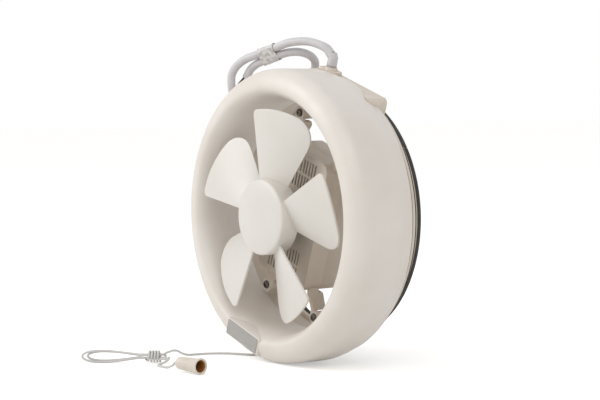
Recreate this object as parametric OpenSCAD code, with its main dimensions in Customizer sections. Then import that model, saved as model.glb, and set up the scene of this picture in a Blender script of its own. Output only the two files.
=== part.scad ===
// Round exhaust fan for a window pane, 200 mm sweep, with a pull-cord switch.
// It stands on its rim, turned a little about its own axis, with its cords laid as they lie there.
// Local axes of the fan: u to the right, v up, w towards the room; w = 0 is the face that meets the pane.

/* [Casing] */
// Outer radius of the drum
drum_r = 140; // [132:1:150]
// How much smaller the drum's radius is where its rear rounding starts
rear_inset = 4; // [2:1:6]
// Depth of the drum from its rear rim to the front of the lip
drum_depth = 73; // [70:1:78]
// Distance from the pane's face to the drum's rear rim
drum_standoff = 8; // [7:0.5:10]
// Radius of the rolled edge, outside the crest of the lip
roll_r = 17; // [14:1:20]
// Depth of the curved bell mouth, inside the crest of the lip
bell_depth = 35; // [30:1:40]
// Width of the bell mouth, from the crest of the lip in to the throat
mouth_width = 13.5; // [12:0.5:15]
// Wall of the drum
drum_wall = 2.6; // [2:0.1:3]
// Radius of the drum's rear rounding
rear_fillet = 10; // [7:1:11]

/* [Impeller] */
// Gap between the blade tips and the throat
tip_gap = 7.5; // [5:0.5:12]
// Number of blades
blade_count = 5; // [3:1:7]
// Angle that one blade covers, in degrees
blade_span = 45; // [40:1:48]
// Axial depth of a blade at its tip
tip_depth = 20; // [18:1:22]
// Axial depth of a blade at the hub
root_depth = 13; // [11:1:14]
// Thickness of a blade
blade_wall = 2.2; // [1.8:0.1:3]
// Outer radius of the hub
hub_r = 36; // [32:1:38]
// Height of the hub's side wall
hub_height = 20; // [18:1:22]
// Height of the domed cap over the hub's side wall
dome_height = 4; // [3:0.5:6]
// Position of a blade's leading edge at rest, in degrees
impeller_rest = 45; // [0:1:71]

/* [Motor] */
// Half width of the motor housing
motor_half_w = 40; // [40:1:44]
// Half height of the motor housing
motor_half_h = 64; // [62:1:66]
// Distance from the pane's face to the front of the motor housing
motor_front = 50; // [48:1:52]
// Distance from the pane's face to the joint of the housing's two halves
motor_split = 30; // [28:1:32]
// Distance from the pane's face to the rear of the motor housing
motor_rear = 6; // [5:1:7]
// Wall of the motor housing
motor_wall = 2.2; // [1.8:0.1:2.6]
// Radius of the motor shaft
shaft_r = 4; // [3.5:0.1:4.5]
// Running clearance of the shaft in its bearings
bearing_gap = 0.04; // [0.02:0.01:0.08]
// Outer radius of the stator
stator_r = 33; // [31:0.5:35]
// Outer radius of the rotor
rotor_r = 19; // [17:0.5:20]
// Air gap between rotor and stator
air_gap = 0.35; // [0.3:0.05:0.6]
// Width of one vent slot
vent_w = 2.2; // [1.8:0.1:3]
// Height of one vent slot
vent_h = 13; // [10:1:14]

/* [Mounting] */
// Half distance between the upright legs' screws, across
leg_screw_u = 41; // [40:1:42]
// How far the legs' screws stay inside the throat's radius, up and down
leg_screw_inset = 20; // [19:0.5:21]
// Distance from the pane's face to the front of a leg's ear
ear_front = 32; // [30:1:34]
// Radius of the screw's thread
screw_r = 2; // [1.8:0.1:2.2]
// How much larger the spigot that passes through the pane is than the throat, in radius
spigot_step = 8.5; // [8:0.5:9.5]
// Length of the spigot behind the pane's face
spigot_length = 9; // [8:0.5:11]
// Wall of the spigot
spigot_wall = 2.4; // [2:0.1:3]
// How far the rubber strip on the spigot's rim stands out over it
rim_strip_lip = 0.5; // [0.3:0.1:0.5]
// Width of the rubber packing against the pane
packing_width = 8; // [6:0.5:8]

/* [Wiring] */
// Half width of the terminal box
box_half_w = 50; // [46:1:51]
// How far the terminal box's top stays inside the drum's radius
box_inset = 7; // [6:0.5:8]
// Distance from the pane's face to the rear of the terminal box
box_rear = 4; // [2:0.5:6]
// Depth of the terminal box
box_depth = 22; // [20:1:24]
// Diameter of the mains cable
cable_d = 8; // [6:0.2:8]
// Diameter of the pull cord
cord_d = 2.2; // [1.8:0.1:2.6]
// Turns of the cord round the waist of its hank
wrap_turns = 4; // [3:1:4]
// Diameter of the pull bell at its open end
bell_d = 15.4; // [14:0.2:15.4]
// Length of the pull bell
bell_length = 33; // [28:1:36]

/* [Hidden] */

$fn = 96;
turn = 18;          // how far the fan stands turned about its own axis
round_fn = 40;
small_fn = 24;
hull_fn = 32;
cut = 1;            // how far a cut runs past the face that it opens
seat_gap = 0.3;     // between pieces that are seated but not fixed face to face
fit_gap = 0.15;     // between pieces that push together
moving_gap = 0.4;   // between a moving piece and what it passes

ivory = [0.87, 0.85, 0.81];
ivory_dark = [0.80, 0.76, 0.70];
rubber_black = [0.10, 0.09, 0.08];
steel_grey = [0.60, 0.60, 0.62];
screw_dark = [0.25, 0.24, 0.23];
copper = [0.72, 0.42, 0.24];
brass = [0.78, 0.65, 0.35];
cable_white = [0.80, 0.79, 0.80];
cord_grey = [0.75, 0.74, 0.73];

// Sizes that follow from those above
drum_rear_r = drum_r - rear_inset;
throat_r = drum_r - roll_r - mouth_width;
blade_tip_r = throat_r - tip_gap;
leg_screw_v = throat_r - leg_screw_inset;
spigot_r = throat_r + spigot_step;
rim_strip_r = spigot_r + rim_strip_lip;
packing_r = spigot_r + packing_width;
box_top = drum_r - box_inset;

// Casing profile
drum_rear = drum_standoff;
crest_w = drum_rear + drum_depth;
crest_r = drum_r - roll_r;
roll_w = crest_w - roll_r;
throat_w = crest_w - bell_depth;
taper_w = roll_w - 30;
fillet_w = drum_rear + rear_fillet;
rim_in_r = spigot_r + 3;
sleeve_wall = 2.4;
sleeve_r = throat_r + sleeve_wall + seat_gap;
sleeve_front = 34;
throat_rear = sleeve_front - 6;
plate_w = 2.6;

function arc(cr, cw, rr, rw, a0, a1, n) =
    [for (i = [0 : n]) let (a = a0 + (a1 - a0) * i / n) [cr + rr * cos(a), cw + rw * sin(a)]];
function taper_r(w, skin) = drum_r - skin
    - (drum_r - drum_rear_r) * pow(max(0, (taper_w - w) / (taper_w - fillet_w)), 2);
function drum_side(skin) =
    [for (i = [1 : 6]) let (w = fillet_w + (taper_w - fillet_w) * i / 6) [taper_r(w, skin), w]];
function skin_path(skin) = concat(
    arc(drum_rear_r - rear_fillet, fillet_w, rear_fillet - skin, rear_fillet - skin, -90, 0, 8),
    drum_side(skin),
    arc(crest_r, roll_w, roll_r - skin, roll_r - skin, 0, 90, 12),
    [for (p = arc(crest_r, throat_w, crest_r - throat_r - skin, bell_depth - skin, 90, 180, 14))
        if (p[1] < throat_w + bell_depth - skin - 0.01) p]);

module fan() rotate([0, turn, 0]) rotate([90, 0, 0]) children();

// A ring of rectangular section about the fan's axis
module ring(r_in, r_out, w0, w1)
    rotate_extrude($fn = $fn) translate([r_in, w0]) square([r_out - r_in, w1 - w0]);

module tube(r_in, r_out, h, fn = round_fn)
    difference() {
        cylinder(r = r_out, h = h, $fn = fn);
        translate([0, 0, -cut]) cylinder(r = r_in, h = h + 2 * cut, $fn = fn);
    }

module rounded_rect(half_w, half_h, r, fn = hull_fn) {
    square([2 * (half_w - r), 2 * half_h], center = true);
    square([2 * half_w, 2 * (half_h - r)], center = true);
    for (x = [-1, 1], y = [-1, 1])
        translate([x * (half_w - r), y * (half_h - r)]) circle(r = r, $fn = fn);
}

// The four corners that the legs and their screws repeat at
module at_corners(u, v) for (x = [-1, 1], y = [-1, 1]) translate([x * u, y * v, 0]) children();

// ---- Front casing ----
label_half_u = 25.5;
label_half_v = 7.2;
label_at = [0, -crest_r - 0.2];
pad_front = crest_w + 0.4;
pad_half_u = label_half_u + 1.6;
pad_top = label_at[1] + label_half_v + 1;
pad_bottom = label_at[1] - label_half_v - 0.8;
rib_angles = [42, 138, 222, 318];
eyelet_w = 43;
eyelet_hole_r = 3.2;
flange_w = 4.2;
flange_rear_w = 1.4;
rubber_gap = 0.1;
lug_w = 2.4;
lug_out = rim_in_r + 3.4;
lug_angles = [30, 150, 210, 270, 330];
lug_span = 14;
switch_w0 = 31;
switch_w1 = 55;
switch_bottom = -drum_r + 7;
box_front = box_rear + box_depth;
box_inner_r = sleeve_r + sleeve_wall + 7;
gland_u = -32;
gland_w = 12;
gland_half = 11.5;
gland_pad_top = box_top + 3;
gland_top = box_top + 5.6;
box_low = throat_r - 9.5;
spigot_neck = 0.6;

module sector(r_in, r_out, w0, w1, from, to)
    rotate([0, 0, from]) rotate_extrude(angle = to - from, $fn = 120)
        translate([r_in, w0]) square([r_out - r_in, w1 - w0]);

module front_casing() color(ivory) fan() difference() {
    union() {
        rotate_extrude($fn = 120) polygon(concat(
            [[rim_in_r, drum_rear]], skin_path(0), [[throat_r, throat_rear],
            [throat_r + sleeve_wall, throat_rear]],
            [for (i = [0 : len(skin_path(drum_wall)) - 1])
                skin_path(drum_wall)[len(skin_path(drum_wall)) - 1 - i]],
            [[rim_in_r, drum_rear + drum_wall]]));
        // flat pad for the label, with a sloping ledge that runs into the bell mouth
        translate([label_at[0] - pad_half_u, 0, 0]) rotate([90, 0, 90]) linear_extrude(2 * pad_half_u)
            polygon([[pad_top, pad_front], [pad_top + 2.4, crest_w - 13], [pad_top + 1.5, crest_w - 19],
                [-crest_r - 1, roll_w], [pad_bottom - 2.2, roll_w + 8], [pad_bottom - 1.2, crest_w - 1],
                [pad_bottom, pad_front]]);
        // seats of the pull switch
        for (x = [-1, 1]) translate([x * 12 - 4, switch_bottom - 5, switch_w0])
            cube([8, 5, switch_w1 - switch_w0]);
        // wear ribs along the throat
        for (a = rib_angles) rotate(a) translate([throat_r - 1.2, -1, throat_rear])
            cube([2, 2, throat_w - throat_rear - 3]);
    }
    // hole for the pull cord's eyelet
    translate([0, -drum_r - cut, eyelet_w]) rotate([-90, 0, 0])
        cylinder(r = eyelet_hole_r + fit_gap, h = 8, $fn = round_fn);
    // notches that the bayonet lugs pass through
    for (a = lug_angles) sector(rim_in_r - cut, lug_out + 0.6, drum_rear - cut, drum_rear + drum_wall + cut,
        a + lug_span, a + 2 * lug_span + 4);
    // notch for the terminal box and its cable gland
    translate([-box_half_w - seat_gap, box_low, drum_rear - cut])
        cube([2 * (box_half_w + seat_gap), box_top + seat_gap - box_low, box_front - drum_rear + cut + seat_gap]);
    translate([gland_u - gland_half - seat_gap, box_top - cut, drum_rear - cut])
        cube([2 * (gland_half + seat_gap), 12, gland_w + 7 + seat_gap - drum_rear + cut]);
}

module label_plate() color(steel_grey) fan() translate([label_at[0], label_at[1], pad_front])
    linear_extrude(0.7) rounded_rect(label_half_u, label_half_v, 1);

// ---- Rear ring with the spigot, and its rubber packings ----
pillar_r = 6;
ear_wall = 3;
pillar_front = ear_front - ear_wall;
ear_r = 7;
screw_bore = screw_r + fit_gap;

module rear_ring() color(ivory_dark) fan() difference() {
    union() {
        rotate_extrude($fn = 120) polygon([[throat_r - 0.5, 0], [spigot_r - spigot_wall, 0],
            [spigot_r - spigot_wall, -spigot_length], [spigot_r, -spigot_length],
            [spigot_r, 0], [spigot_r - spigot_neck, 0], [spigot_r - spigot_neck, flange_rear_w],
            [packing_r, flange_rear_w], [packing_r, flange_w], [spigot_r - spigot_neck, flange_w],
            [spigot_r - spigot_neck, drum_rear + drum_wall - 0.3], [rim_in_r - 0.4, drum_rear + drum_wall - 0.3],
            [rim_in_r - 0.4, drum_rear + drum_wall + lug_w],
            [sleeve_r + sleeve_wall, drum_rear + drum_wall + lug_w],
            [sleeve_r + sleeve_wall, sleeve_front], [sleeve_r, sleeve_front], [sleeve_r, flange_w],
            [throat_r - 0.5, flange_w]]);
        for (a = lug_angles) sector(rim_in_r - 1, lug_out, drum_rear + drum_wall,
            drum_rear + drum_wall + lug_w - 0.3, a - lug_span / 2, a + lug_span / 2);
        at_corners(leg_screw_u, leg_screw_v) cylinder(r = pillar_r, h = pillar_front, $fn = round_fn);
        for (x = [-1, 1], y = [-1, 1])
            rotate(atan2(y * leg_screw_v, x * leg_screw_u))
                translate([norm([leg_screw_u, leg_screw_v]) + pillar_r - 1.5, -2.2, 0])
                    cube([sleeve_r + 1 - norm([leg_screw_u, leg_screw_v]) - pillar_r + 1.5, 4.4, throat_rear - 0.6]);
    }
    at_corners(leg_screw_u, leg_screw_v) translate([0, 0, 10])
        cylinder(r = screw_bore, h = pillar_front - 10 + cut, $fn = round_fn);
}

// Rubber on both sides of the rear ring's flange: against the pane, and against the drum
module pane_packing() color(rubber_black) fan() {
    ring(spigot_r + rubber_gap, packing_r, 0, flange_rear_w - rubber_gap);
    ring(spigot_r + rubber_gap, packing_r - 0.6, flange_w + rubber_gap, drum_rear);
}

module rim_packing() color(rubber_black) fan() difference() {
    ring(spigot_r - spigot_wall - 1.7, rim_strip_r, -spigot_length - 2.5, -spigot_length + 1.5);
    ring(spigot_r - spigot_wall - 0.1, spigot_r + 0.1, -spigot_length, -spigot_length + 1.5 + cut);
    rotate(52) translate([throat_r - 9.5, -0.3, -spigot_length - 4]) cube([30, 0.6, 8]);
}

front_casing();
label_plate();
rear_ring();
pane_packing();
rim_packing();

// ---- Motor housing ----
leg_in_u = motor_half_w - 6;
leg_out_u = motor_half_w;
leg_end_v = leg_screw_v - pillar_r - 1;
cup_screw_u = motor_half_w - 8;
cup_screw_v = motor_half_h - 8;
cup_boss_r = 4.2;
cup_screw_r = 1.75;
cup_screw_length = 32;
leg_screw_length = 20;
shaft_hole_r = 9.5;
vent_pitch = 4.4;
vent_columns = 5;
vent_rows = [36, 52];

module shell(w0, w1, wall_w0, wall_w1) difference() {
    translate([0, 0, w0]) linear_extrude(w1 - w0) rounded_rect(motor_half_w, motor_half_h, 10);
    translate([0, 0, wall_w0]) linear_extrude(wall_w1 - wall_w0)
        rounded_rect(motor_half_w - motor_wall, motor_half_h - motor_wall, 10 - motor_wall);
}

// A bar that leaves the housing's end, slopes back and ends in an ear on the rear ring's pillar
module leg() {
    translate([leg_in_u, 0, 0]) rotate([90, 0, 90]) linear_extrude(leg_out_u - leg_in_u)
        polygon([[motor_half_h - 5, motor_split + 2], [motor_half_h - 5, motor_front - 8.5],
            [motor_half_h + 2, motor_front - 9.4], [leg_end_v + 1.5, ear_front], [leg_screw_v - 3, ear_front],
            [leg_screw_v - 3, ear_front - ear_wall], [leg_end_v, ear_front - ear_wall],
            [leg_end_v, ear_front - 11], [leg_end_v - 3.5, ear_front - 12],
            [motor_half_h + 0.6, ear_front - 6], [motor_half_h + 0.6, motor_split + 2]]);
    translate([leg_screw_u, leg_screw_v, ear_front - ear_wall]) cylinder(r = ear_r, h = ear_wall, $fn = round_fn);
}

module motor_bracket() color(ivory) fan() difference() {
    union() {
        shell(motor_split, motor_front, motor_split - cut, motor_front - motor_wall);
        for (x = [0, 1], y = [0, 1]) mirror([x, 0, 0]) mirror([0, y, 0]) leg();
        at_corners(cup_screw_u, cup_screw_v) translate([0, 0, motor_split])
            cylinder(r = cup_boss_r, h = motor_front - motor_wall - motor_split, $fn = round_fn);
    }
    translate([0, 0, motor_split]) cylinder(r = shaft_hole_r, h = motor_front - motor_split + cut, $fn = round_fn);
    at_corners(cup_screw_u, cup_screw_v) translate([0, 0, motor_split - cut])
        cylinder(r = cup_screw_r + fit_gap, h = 13 + cut, $fn = small_fn);
    at_corners(leg_screw_u, leg_screw_v) translate([0, 0, ear_front - ear_wall - cut])
        cylinder(r = screw_bore, h = ear_wall + 2 * cut + 8, $fn = round_fn);
    at_corners(leg_screw_u, leg_screw_v) translate([0, 0, ear_front])
        cylinder(r = 4.6, h = 12, $fn = round_fn);
    for (y = [-1, 1], row = vent_rows, i = [-vent_columns : vent_columns])
        translate([i * vent_pitch - vent_w / 2, y * row - vent_h / 2, motor_front - motor_wall - cut])
            cube([vent_w, vent_h, motor_wall + 2 * cut]);
}

module motor_cup() color(ivory_dark) fan() difference() {
    union() {
        shell(motor_rear, motor_split, motor_rear + motor_wall, motor_split + cut);
        at_corners(cup_screw_u, cup_screw_v) translate([0, 0, motor_rear])
            cylinder(r = cup_boss_r, h = motor_split - motor_rear, $fn = round_fn);
    }
    at_corners(cup_screw_u, cup_screw_v) translate([0, 0, motor_rear - cut])
        cylinder(r = cup_screw_r + fit_gap, h = motor_split - motor_rear + 2 * cut, $fn = small_fn);
    for (y = [-1, 1], i = [-4 : 4])
        translate([i * 6 - 1.2, y * 49 - 6, motor_rear - cut]) cube([2.4, 12, motor_wall + 2 * cut]);
}

// Pan-head screw with a cross recess, head up, its seat at z = 0
module pan_screw(r, length, head_r, head_h) difference() {
    union() {
        translate([0, 0, -length]) cylinder(r = r, h = length + 0.5, $fn = small_fn);
        rotate_extrude($fn = round_fn) polygon([[0, 0], [head_r, 0], [head_r, head_h * 0.45],
            [head_r * 0.82, head_h * 0.85], [head_r * 0.45, head_h], [0, head_h]]);
    }
    for (a = [0, 90]) rotate(a) translate([-head_r * 0.55, -0.45, head_h * 0.45]) cube([head_r * 1.1, 0.9, head_h]);
}

module leg_screws() color(screw_dark) fan() at_corners(leg_screw_u, leg_screw_v)
    translate([0, 0, ear_front]) pan_screw(screw_r, leg_screw_length, 4, 2.6);

module cup_screws() color(steel_grey) fan() at_corners(cup_screw_u, cup_screw_v)
    translate([0, 0, motor_rear]) mirror([0, 0, 1]) pan_screw(cup_screw_r, cup_screw_length, 3.4, 2.2);

// ---- Motor ----
stator_w0 = motor_split - 10;
stator_w1 = motor_split + 8;
slot_count = 12;
winding_in = rotor_r + 2.6;
winding_out = rotor_r + 8.6;
winding_depth = 5;
winding_round = 0.8;
slot_r = 2.5;
slot_at = rotor_r + 5.2;
capacitor_half_u = 20;
capacitor_half_v = 9;
capacitor_depth = 17;
bearing_r = 8;
bearing_len = 7;
front_bearing_w = motor_front - motor_wall - bearing_len;
rear_bearing_w = motor_rear + motor_wall;
bracket_out_r = stator_r + 0.6;
shaft_front = 82;
shaft_rear = rear_bearing_w + 0.6;

module stator_core() color(steel_grey) fan() translate([0, 0, stator_w0]) difference() {
    cylinder(r = stator_r, h = stator_w1 - stator_w0);
    translate([0, 0, -cut]) cylinder(r = rotor_r + air_gap, h = stator_w1 - stator_w0 + 2 * cut);
    for (i = [0 : slot_count - 1]) rotate(i * 360 / slot_count) {
        translate([rotor_r + air_gap - 1, -0.9, -cut]) cube([6, 1.8, stator_w1 - stator_w0 + 2 * cut]);
        translate([slot_at, 0, -cut])
            cylinder(r = slot_r, h = stator_w1 - stator_w0 + 2 * cut, $fn = small_fn);
    }
}

module stator_windings() color(copper) fan() {
    for (w = [stator_w0 - winding_depth, stator_w1]) translate([0, 0, w]) rotate_extrude($fn = 60)
        polygon([[winding_in, winding_round], [winding_in + winding_round, 0],
            [winding_out - winding_round, 0], [winding_out, winding_round],
            [winding_out, winding_depth - winding_round], [winding_out - winding_round, winding_depth],
            [winding_in + winding_round, winding_depth], [winding_in, winding_depth - winding_round]]);
    for (i = [0 : slot_count - 1]) rotate(i * 360 / slot_count) translate([slot_at, 0, stator_w0 - 0.5])
        cylinder(r = slot_r - fit_gap, h = stator_w1 - stator_w0 + 1, $fn = small_fn);
}

// End bracket: a rim on the stator, a web and a seat for the bearing
module end_bracket(reach) difference() {
    union() {
        rotate_extrude($fn = 60) polygon([[bearing_r, reach - bearing_len], [bearing_r + 2.4, reach - bearing_len],
            [bearing_r + 2.4, reach - 3], [bracket_out_r - 2.4, reach - 3], [bracket_out_r - 2.4, 0],
            [bracket_out_r, 0], [bracket_out_r, reach - 0.8], [bearing_r + 2.4, reach - 0.8],
            [bearing_r + 2.4, reach], [bearing_r, reach]]);
        for (i = [0 : 3]) rotate(45 + i * 90) translate([bracket_out_r - 4, 0, reach - 1])
            cylinder(r = 3, h = 1, $fn = small_fn);
    }
    for (i = [0 : 5]) rotate(i * 60) translate([21, 0, reach - 4]) cylinder(r = 4.5, h = 5, $fn = small_fn);
}

module bearing_brackets() color(steel_grey) fan() {
    translate([0, 0, stator_w1]) end_bracket(motor_front - motor_wall - stator_w1);
    translate([0, 0, stator_w0]) mirror([0, 0, 1]) end_bracket(stator_w0 - motor_rear - motor_wall);
}

module bearing() rotate_extrude($fn = 60) translate([shaft_r + bearing_gap, 0])
    square([bearing_r - shaft_r - bearing_gap, bearing_len]);
module front_bearing() color(brass) fan() translate([0, 0, front_bearing_w]) bearing();
module rear_bearing() color(brass) fan() translate([0, 0, rear_bearing_w]) bearing();

module run_capacitor() color(screw_dark) fan()
    translate([0, -motor_half_h + motor_wall + capacitor_half_v, motor_rear + motor_wall])
        linear_extrude(capacitor_depth) rounded_rect(capacitor_half_u, capacitor_half_v, 2);

module motor_shaft() color(steel_grey) fan() difference() {
    translate([0, 0, shaft_rear]) cylinder(r = shaft_r, h = shaft_front - shaft_rear, $fn = 60);
    translate([0, 0, pin_w]) rotate([90, 0, 0])
        cylinder(r = pin_r + 0.05, h = 3 * shaft_r, center = true, $fn = small_fn);
}

core_w0 = stator_w0;
core_w1 = stator_w1;
module rotor_core() color(steel_grey) fan() ring(shaft_r + 0.05, rotor_r, core_w0, core_w1);
module rotor_rings() color([0.75, 0.76, 0.78]) fan() {
    ring(rotor_r - 7, rotor_r - 1, core_w0 - 3.4, core_w0);
    ring(rotor_r - 7, rotor_r - 1, core_w1, core_w1 + 3.4);
}
module thrust_collars() color(brass) fan() {
    ring(shaft_r + 0.05, shaft_r + 2.6, rear_bearing_w + bearing_len + moving_gap, core_w0);
    ring(shaft_r + 0.05, shaft_r + 2.6, core_w1, front_bearing_w - moving_gap);
}

motor_bracket();
motor_cup();
leg_screws();
cup_screws();
stator_core();
stator_windings();
bearing_brackets();
front_bearing();
rear_bearing();
run_capacitor();
motor_shaft();
rotor_core();
rotor_rings();
thrust_collars();

// ---- Impeller ----
hub_w0 = 68;
hub_w1 = hub_w0 + hub_height;
hub_wall = 2.2;
boss_r = 8;
pin_r = 1.5;
pin_w = hub_w0 + 5;
blade_mid_w = 75.8;
lead_round = 5;
trail_round = 24;
blade_corner = [0, 20, 40, 60, 75, 90];
blade_rows = [0, 0.12, 0.3, 0.5, 0.7, 0.86, 1];

// Columns across a blade as [share of its span, drop of the tip radius]
blade_arc = blade_tip_r * blade_span * PI / 180;
blade_columns = concat(
    [for (a = blade_corner) [trail_round * (1 - cos(a)) / blade_arc, trail_round * (1 - sin(a))]],
    [for (t = [0.36, 0.5, 0.64]) [t, 0]],
    [for (i = [len(blade_corner) - 1 : -1 : 0]) let (a = blade_corner[i])
        [1 - lead_round * (1 - cos(a)) / blade_arc, lead_round * (1 - sin(a))]]);
function blade_w(t, k) = blade_mid_w + k * -3.3
    + (root_depth + (tip_depth - root_depth) * k) * (t - 0.5) + 4 * (1 - pow(2 * t - 1, 2)) * (0.5 + 0.5 * k);
function blade_point(t, drop, b, side) =
    let (r = hub_r - 1.2 + (blade_tip_r - drop - hub_r + 1.2) * b,
        k = (r - hub_r) / (blade_tip_r - hub_r),
        a = (t - 1) * blade_span)
    [r * cos(a), r * sin(a), blade_w(t, k) + side * blade_wall / 2 * (1.15 - 0.45 * k)];

module blade() {
    m = len(blade_columns);
    n = len(blade_rows);
    front = [for (c = blade_columns, b = blade_rows) blade_point(c[0], c[1], b, 1)];
    back = [for (c = blade_columns, b = blade_rows) blade_point(c[0], c[1], b, -1)];
    q = m * n;
    polyhedron(points = concat(front, back), faces = concat(
        [for (i = [0 : m - 2], j = [0 : n - 2]) each [[i * n + j, (i + 1) * n + j + 1, i * n + j + 1],
            [i * n + j, (i + 1) * n + j, (i + 1) * n + j + 1]]],
        [for (i = [0 : m - 2], j = [0 : n - 2]) each [[q + i * n + j, q + i * n + j + 1, q + (i + 1) * n + j + 1],
            [q + i * n + j, q + (i + 1) * n + j + 1, q + (i + 1) * n + j]]],
        [for (i = [0 : m - 2]) each [[i * n, q + i * n, q + (i + 1) * n], [i * n, q + (i + 1) * n, (i + 1) * n]]],
        [for (i = [0 : m - 2]) each [[i * n + n - 1, q + (i + 1) * n + n - 1, q + i * n + n - 1],
            [i * n + n - 1, (i + 1) * n + n - 1, q + (i + 1) * n + n - 1]]],
        [for (j = [0 : n - 2]) each [[j, j + 1, q + j + 1], [j, q + j + 1, q + j]]],
        [for (j = [0 : n - 2]) let (e = (m - 1) * n) each [[e + j, q + e + j + 1, e + j + 1],
            [e + j, q + e + j, q + e + j + 1]]]));
}

module impeller() color(ivory) fan() difference() {
    union() {
        rotate_extrude($fn = $fn) polygon(concat(
            [[hub_r - hub_wall, hub_w0], [hub_r, hub_w0]],
            arc(hub_r - 2.5, hub_w1 - 2.5, 2.5, 2.5, 0, 70, 5),
            [for (i = [6 : -1 : 0]) let (r = (hub_r - 3.2) * i / 7) [r, hub_w1 + dome_height
                - dome_height * pow(r / (hub_r - 2), 2)]],
            [[0, hub_w1 + dome_height - hub_wall]],
            [for (i = [1 : 6]) let (r = (hub_r - 4.4) * i / 6) [r, hub_w1 + dome_height - hub_wall
                - dome_height * pow(r / (hub_r - 2), 2)]],
            [[hub_r - hub_wall, hub_w1 - 4]]));
        translate([0, 0, hub_w0 + 2]) cylinder(r = boss_r, h = hub_height, $fn = round_fn);
        for (i = [0 : blade_count - 1]) rotate(impeller_rest + i * 360 / blade_count)
            translate([boss_r - 1, -0.9, hub_w0 + 5]) cube([hub_r - boss_r - 0.5, 1.8, hub_height - 9.6]);
        for (i = [0 : blade_count - 1]) rotate(impeller_rest + i * 360 / blade_count) blade();
    }
    translate([0, 0, hub_w0 - cut]) cylinder(r = shaft_r + 0.04, h = shaft_front - hub_w0 + 1 + cut, $fn = 60);
    // slot that drops over the drive pin
    translate([-pin_r - 0.1, -boss_r - cut, hub_w0 + cut]) cube([2 * pin_r + 0.2, 2 * boss_r + 2 * cut, pin_w + pin_r - hub_w0 - 0.9]);
}

module drive_pin() color(steel_grey) fan() translate([0, 0, pin_w]) rotate([90, 0, 0])
    cylinder(r = pin_r, h = 2 * boss_r - 1, center = true, $fn = small_fn);

module hub_clip() color(steel_grey) fan() difference() {
    ring(boss_r, boss_r + 1.2, hub_w0 + 2.2, hub_w0 + 3.4);
    rotate(45) translate([0, -1.5, hub_w0]) cube([20, 3, 10]);
}

impeller();
drive_pin();
hub_clip();

// ---- Terminal box ----
box_wall = 2;
box_r = 5;
cover_w = 2.2;
head_sink = 1.7;
block_at = [22, box_top - 4.5];

module box_outline(inset, r_inner) difference() {
    translate([0, (box_low + box_top) / 2])
        rounded_rect(box_half_w - inset, (box_top - box_low) / 2 - inset, box_r - inset);
    circle(r = r_inner + inset, $fn = 120);
}

box_screw_u = box_half_w - 7;
box_screw_v = box_top - 6.5;
module terminal_box() color(ivory_dark) fan() {
  difference() {
    union() {
        translate([0, 0, box_rear]) linear_extrude(drum_rear - box_rear + 0.01) box_outline(0, packing_r + seat_gap);
        translate([0, 0, drum_rear]) linear_extrude(box_front - cover_w - drum_rear) difference() {
            box_outline(0, box_inner_r);
        }
    }
    translate([0, 0, box_rear + box_wall]) linear_extrude(drum_rear - box_rear)
        box_outline(box_wall, packing_r + seat_gap);
    translate([0, 0, drum_rear + box_wall]) linear_extrude(box_front) box_outline(box_wall, box_inner_r);
    translate([gland_u, box_top + cut, gland_w]) rotate([90, 0, 0])
        cylinder(r = cable_d / 2 + fit_gap, h = box_wall + 2 * cut, $fn = round_fn);
  }
  for (x = [-1, 1]) translate([x * box_screw_u, box_screw_v, box_rear + 1])
      tube(1.4, 2.8, box_front - cover_w - box_rear - 1, small_fn);
}

module box_screws() color(steel_grey) fan() for (x = [-1, 1])
    translate([x * box_screw_u, box_screw_v, box_front - head_sink]) pan_screw(1.25, 9, 2.6, 1.6);

module box_cover() color(ivory_dark) fan() difference() {
    translate([0, 0, box_front - cover_w]) linear_extrude(cover_w) box_outline(0, box_inner_r);
    for (x = [-1, 1]) translate([x * box_screw_u, box_screw_v, box_front - cover_w - cut])
        cylinder(r = 1.4, h = cover_w + 2 * cut, $fn = small_fn);
    for (x = [-1, 1]) translate([x * box_screw_u, box_screw_v, box_front - head_sink])
        cylinder(r = 2.9, h = head_sink + cut, $fn = small_fn);
}

module terminal_block() color(cable_white) fan() difference() {
    translate([block_at[0] - 12, block_at[1] - 4.5, drum_rear + box_wall]) cube([24, 6.5, 8]);
    for (i = [-1 : 1]) translate([block_at[0] + i * 7.5, block_at[1] - 1.2, drum_rear + box_wall + 3])
        cylinder(r = 1.7, h = 6, $fn = small_fn);
}

module cable_gland() color(ivory_dark) fan() difference() {
    union() {
        translate([gland_u, box_top, gland_w - 0.25]) rotate([-90, 0, 0])
            linear_extrude(gland_pad_top - box_top) rounded_rect(gland_half, 6.4, 3);
        translate([gland_u, box_top, gland_w]) rotate([-90, 0, 0]) rotate_extrude($fn = round_fn)
            polygon([[0, 0], [6.6, 0], [6.6, gland_pad_top - box_top + 0.6], [5.6, gland_top - box_top], [0, gland_top - box_top]]);
    }
    translate([gland_u, box_top - cut, gland_w]) rotate([-90, 0, 0])
        cylinder(r = cable_d / 2 + fit_gap, h = 12, $fn = round_fn);
}

terminal_box();
box_cover();
box_screws();
terminal_block();
cable_gland();

// ---- Pull switch, inside the drum at its lowest point ----
switch_half_u = 18;
switch_top = -throat_r - 5.9;
switch_wall = 1.6;
lever_at = [-12, switch_bottom + 9];
lever_w0 = 40.5;
lever_t = 5;
pivot_r = 1.5;
pivot_gap = 0.05;
cam_at = [8, switch_bottom + 8.6];
cam_w0 = lever_w0 + lever_t + 0.6;
cam_t = 4;
cam_r = 5.2;

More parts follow.
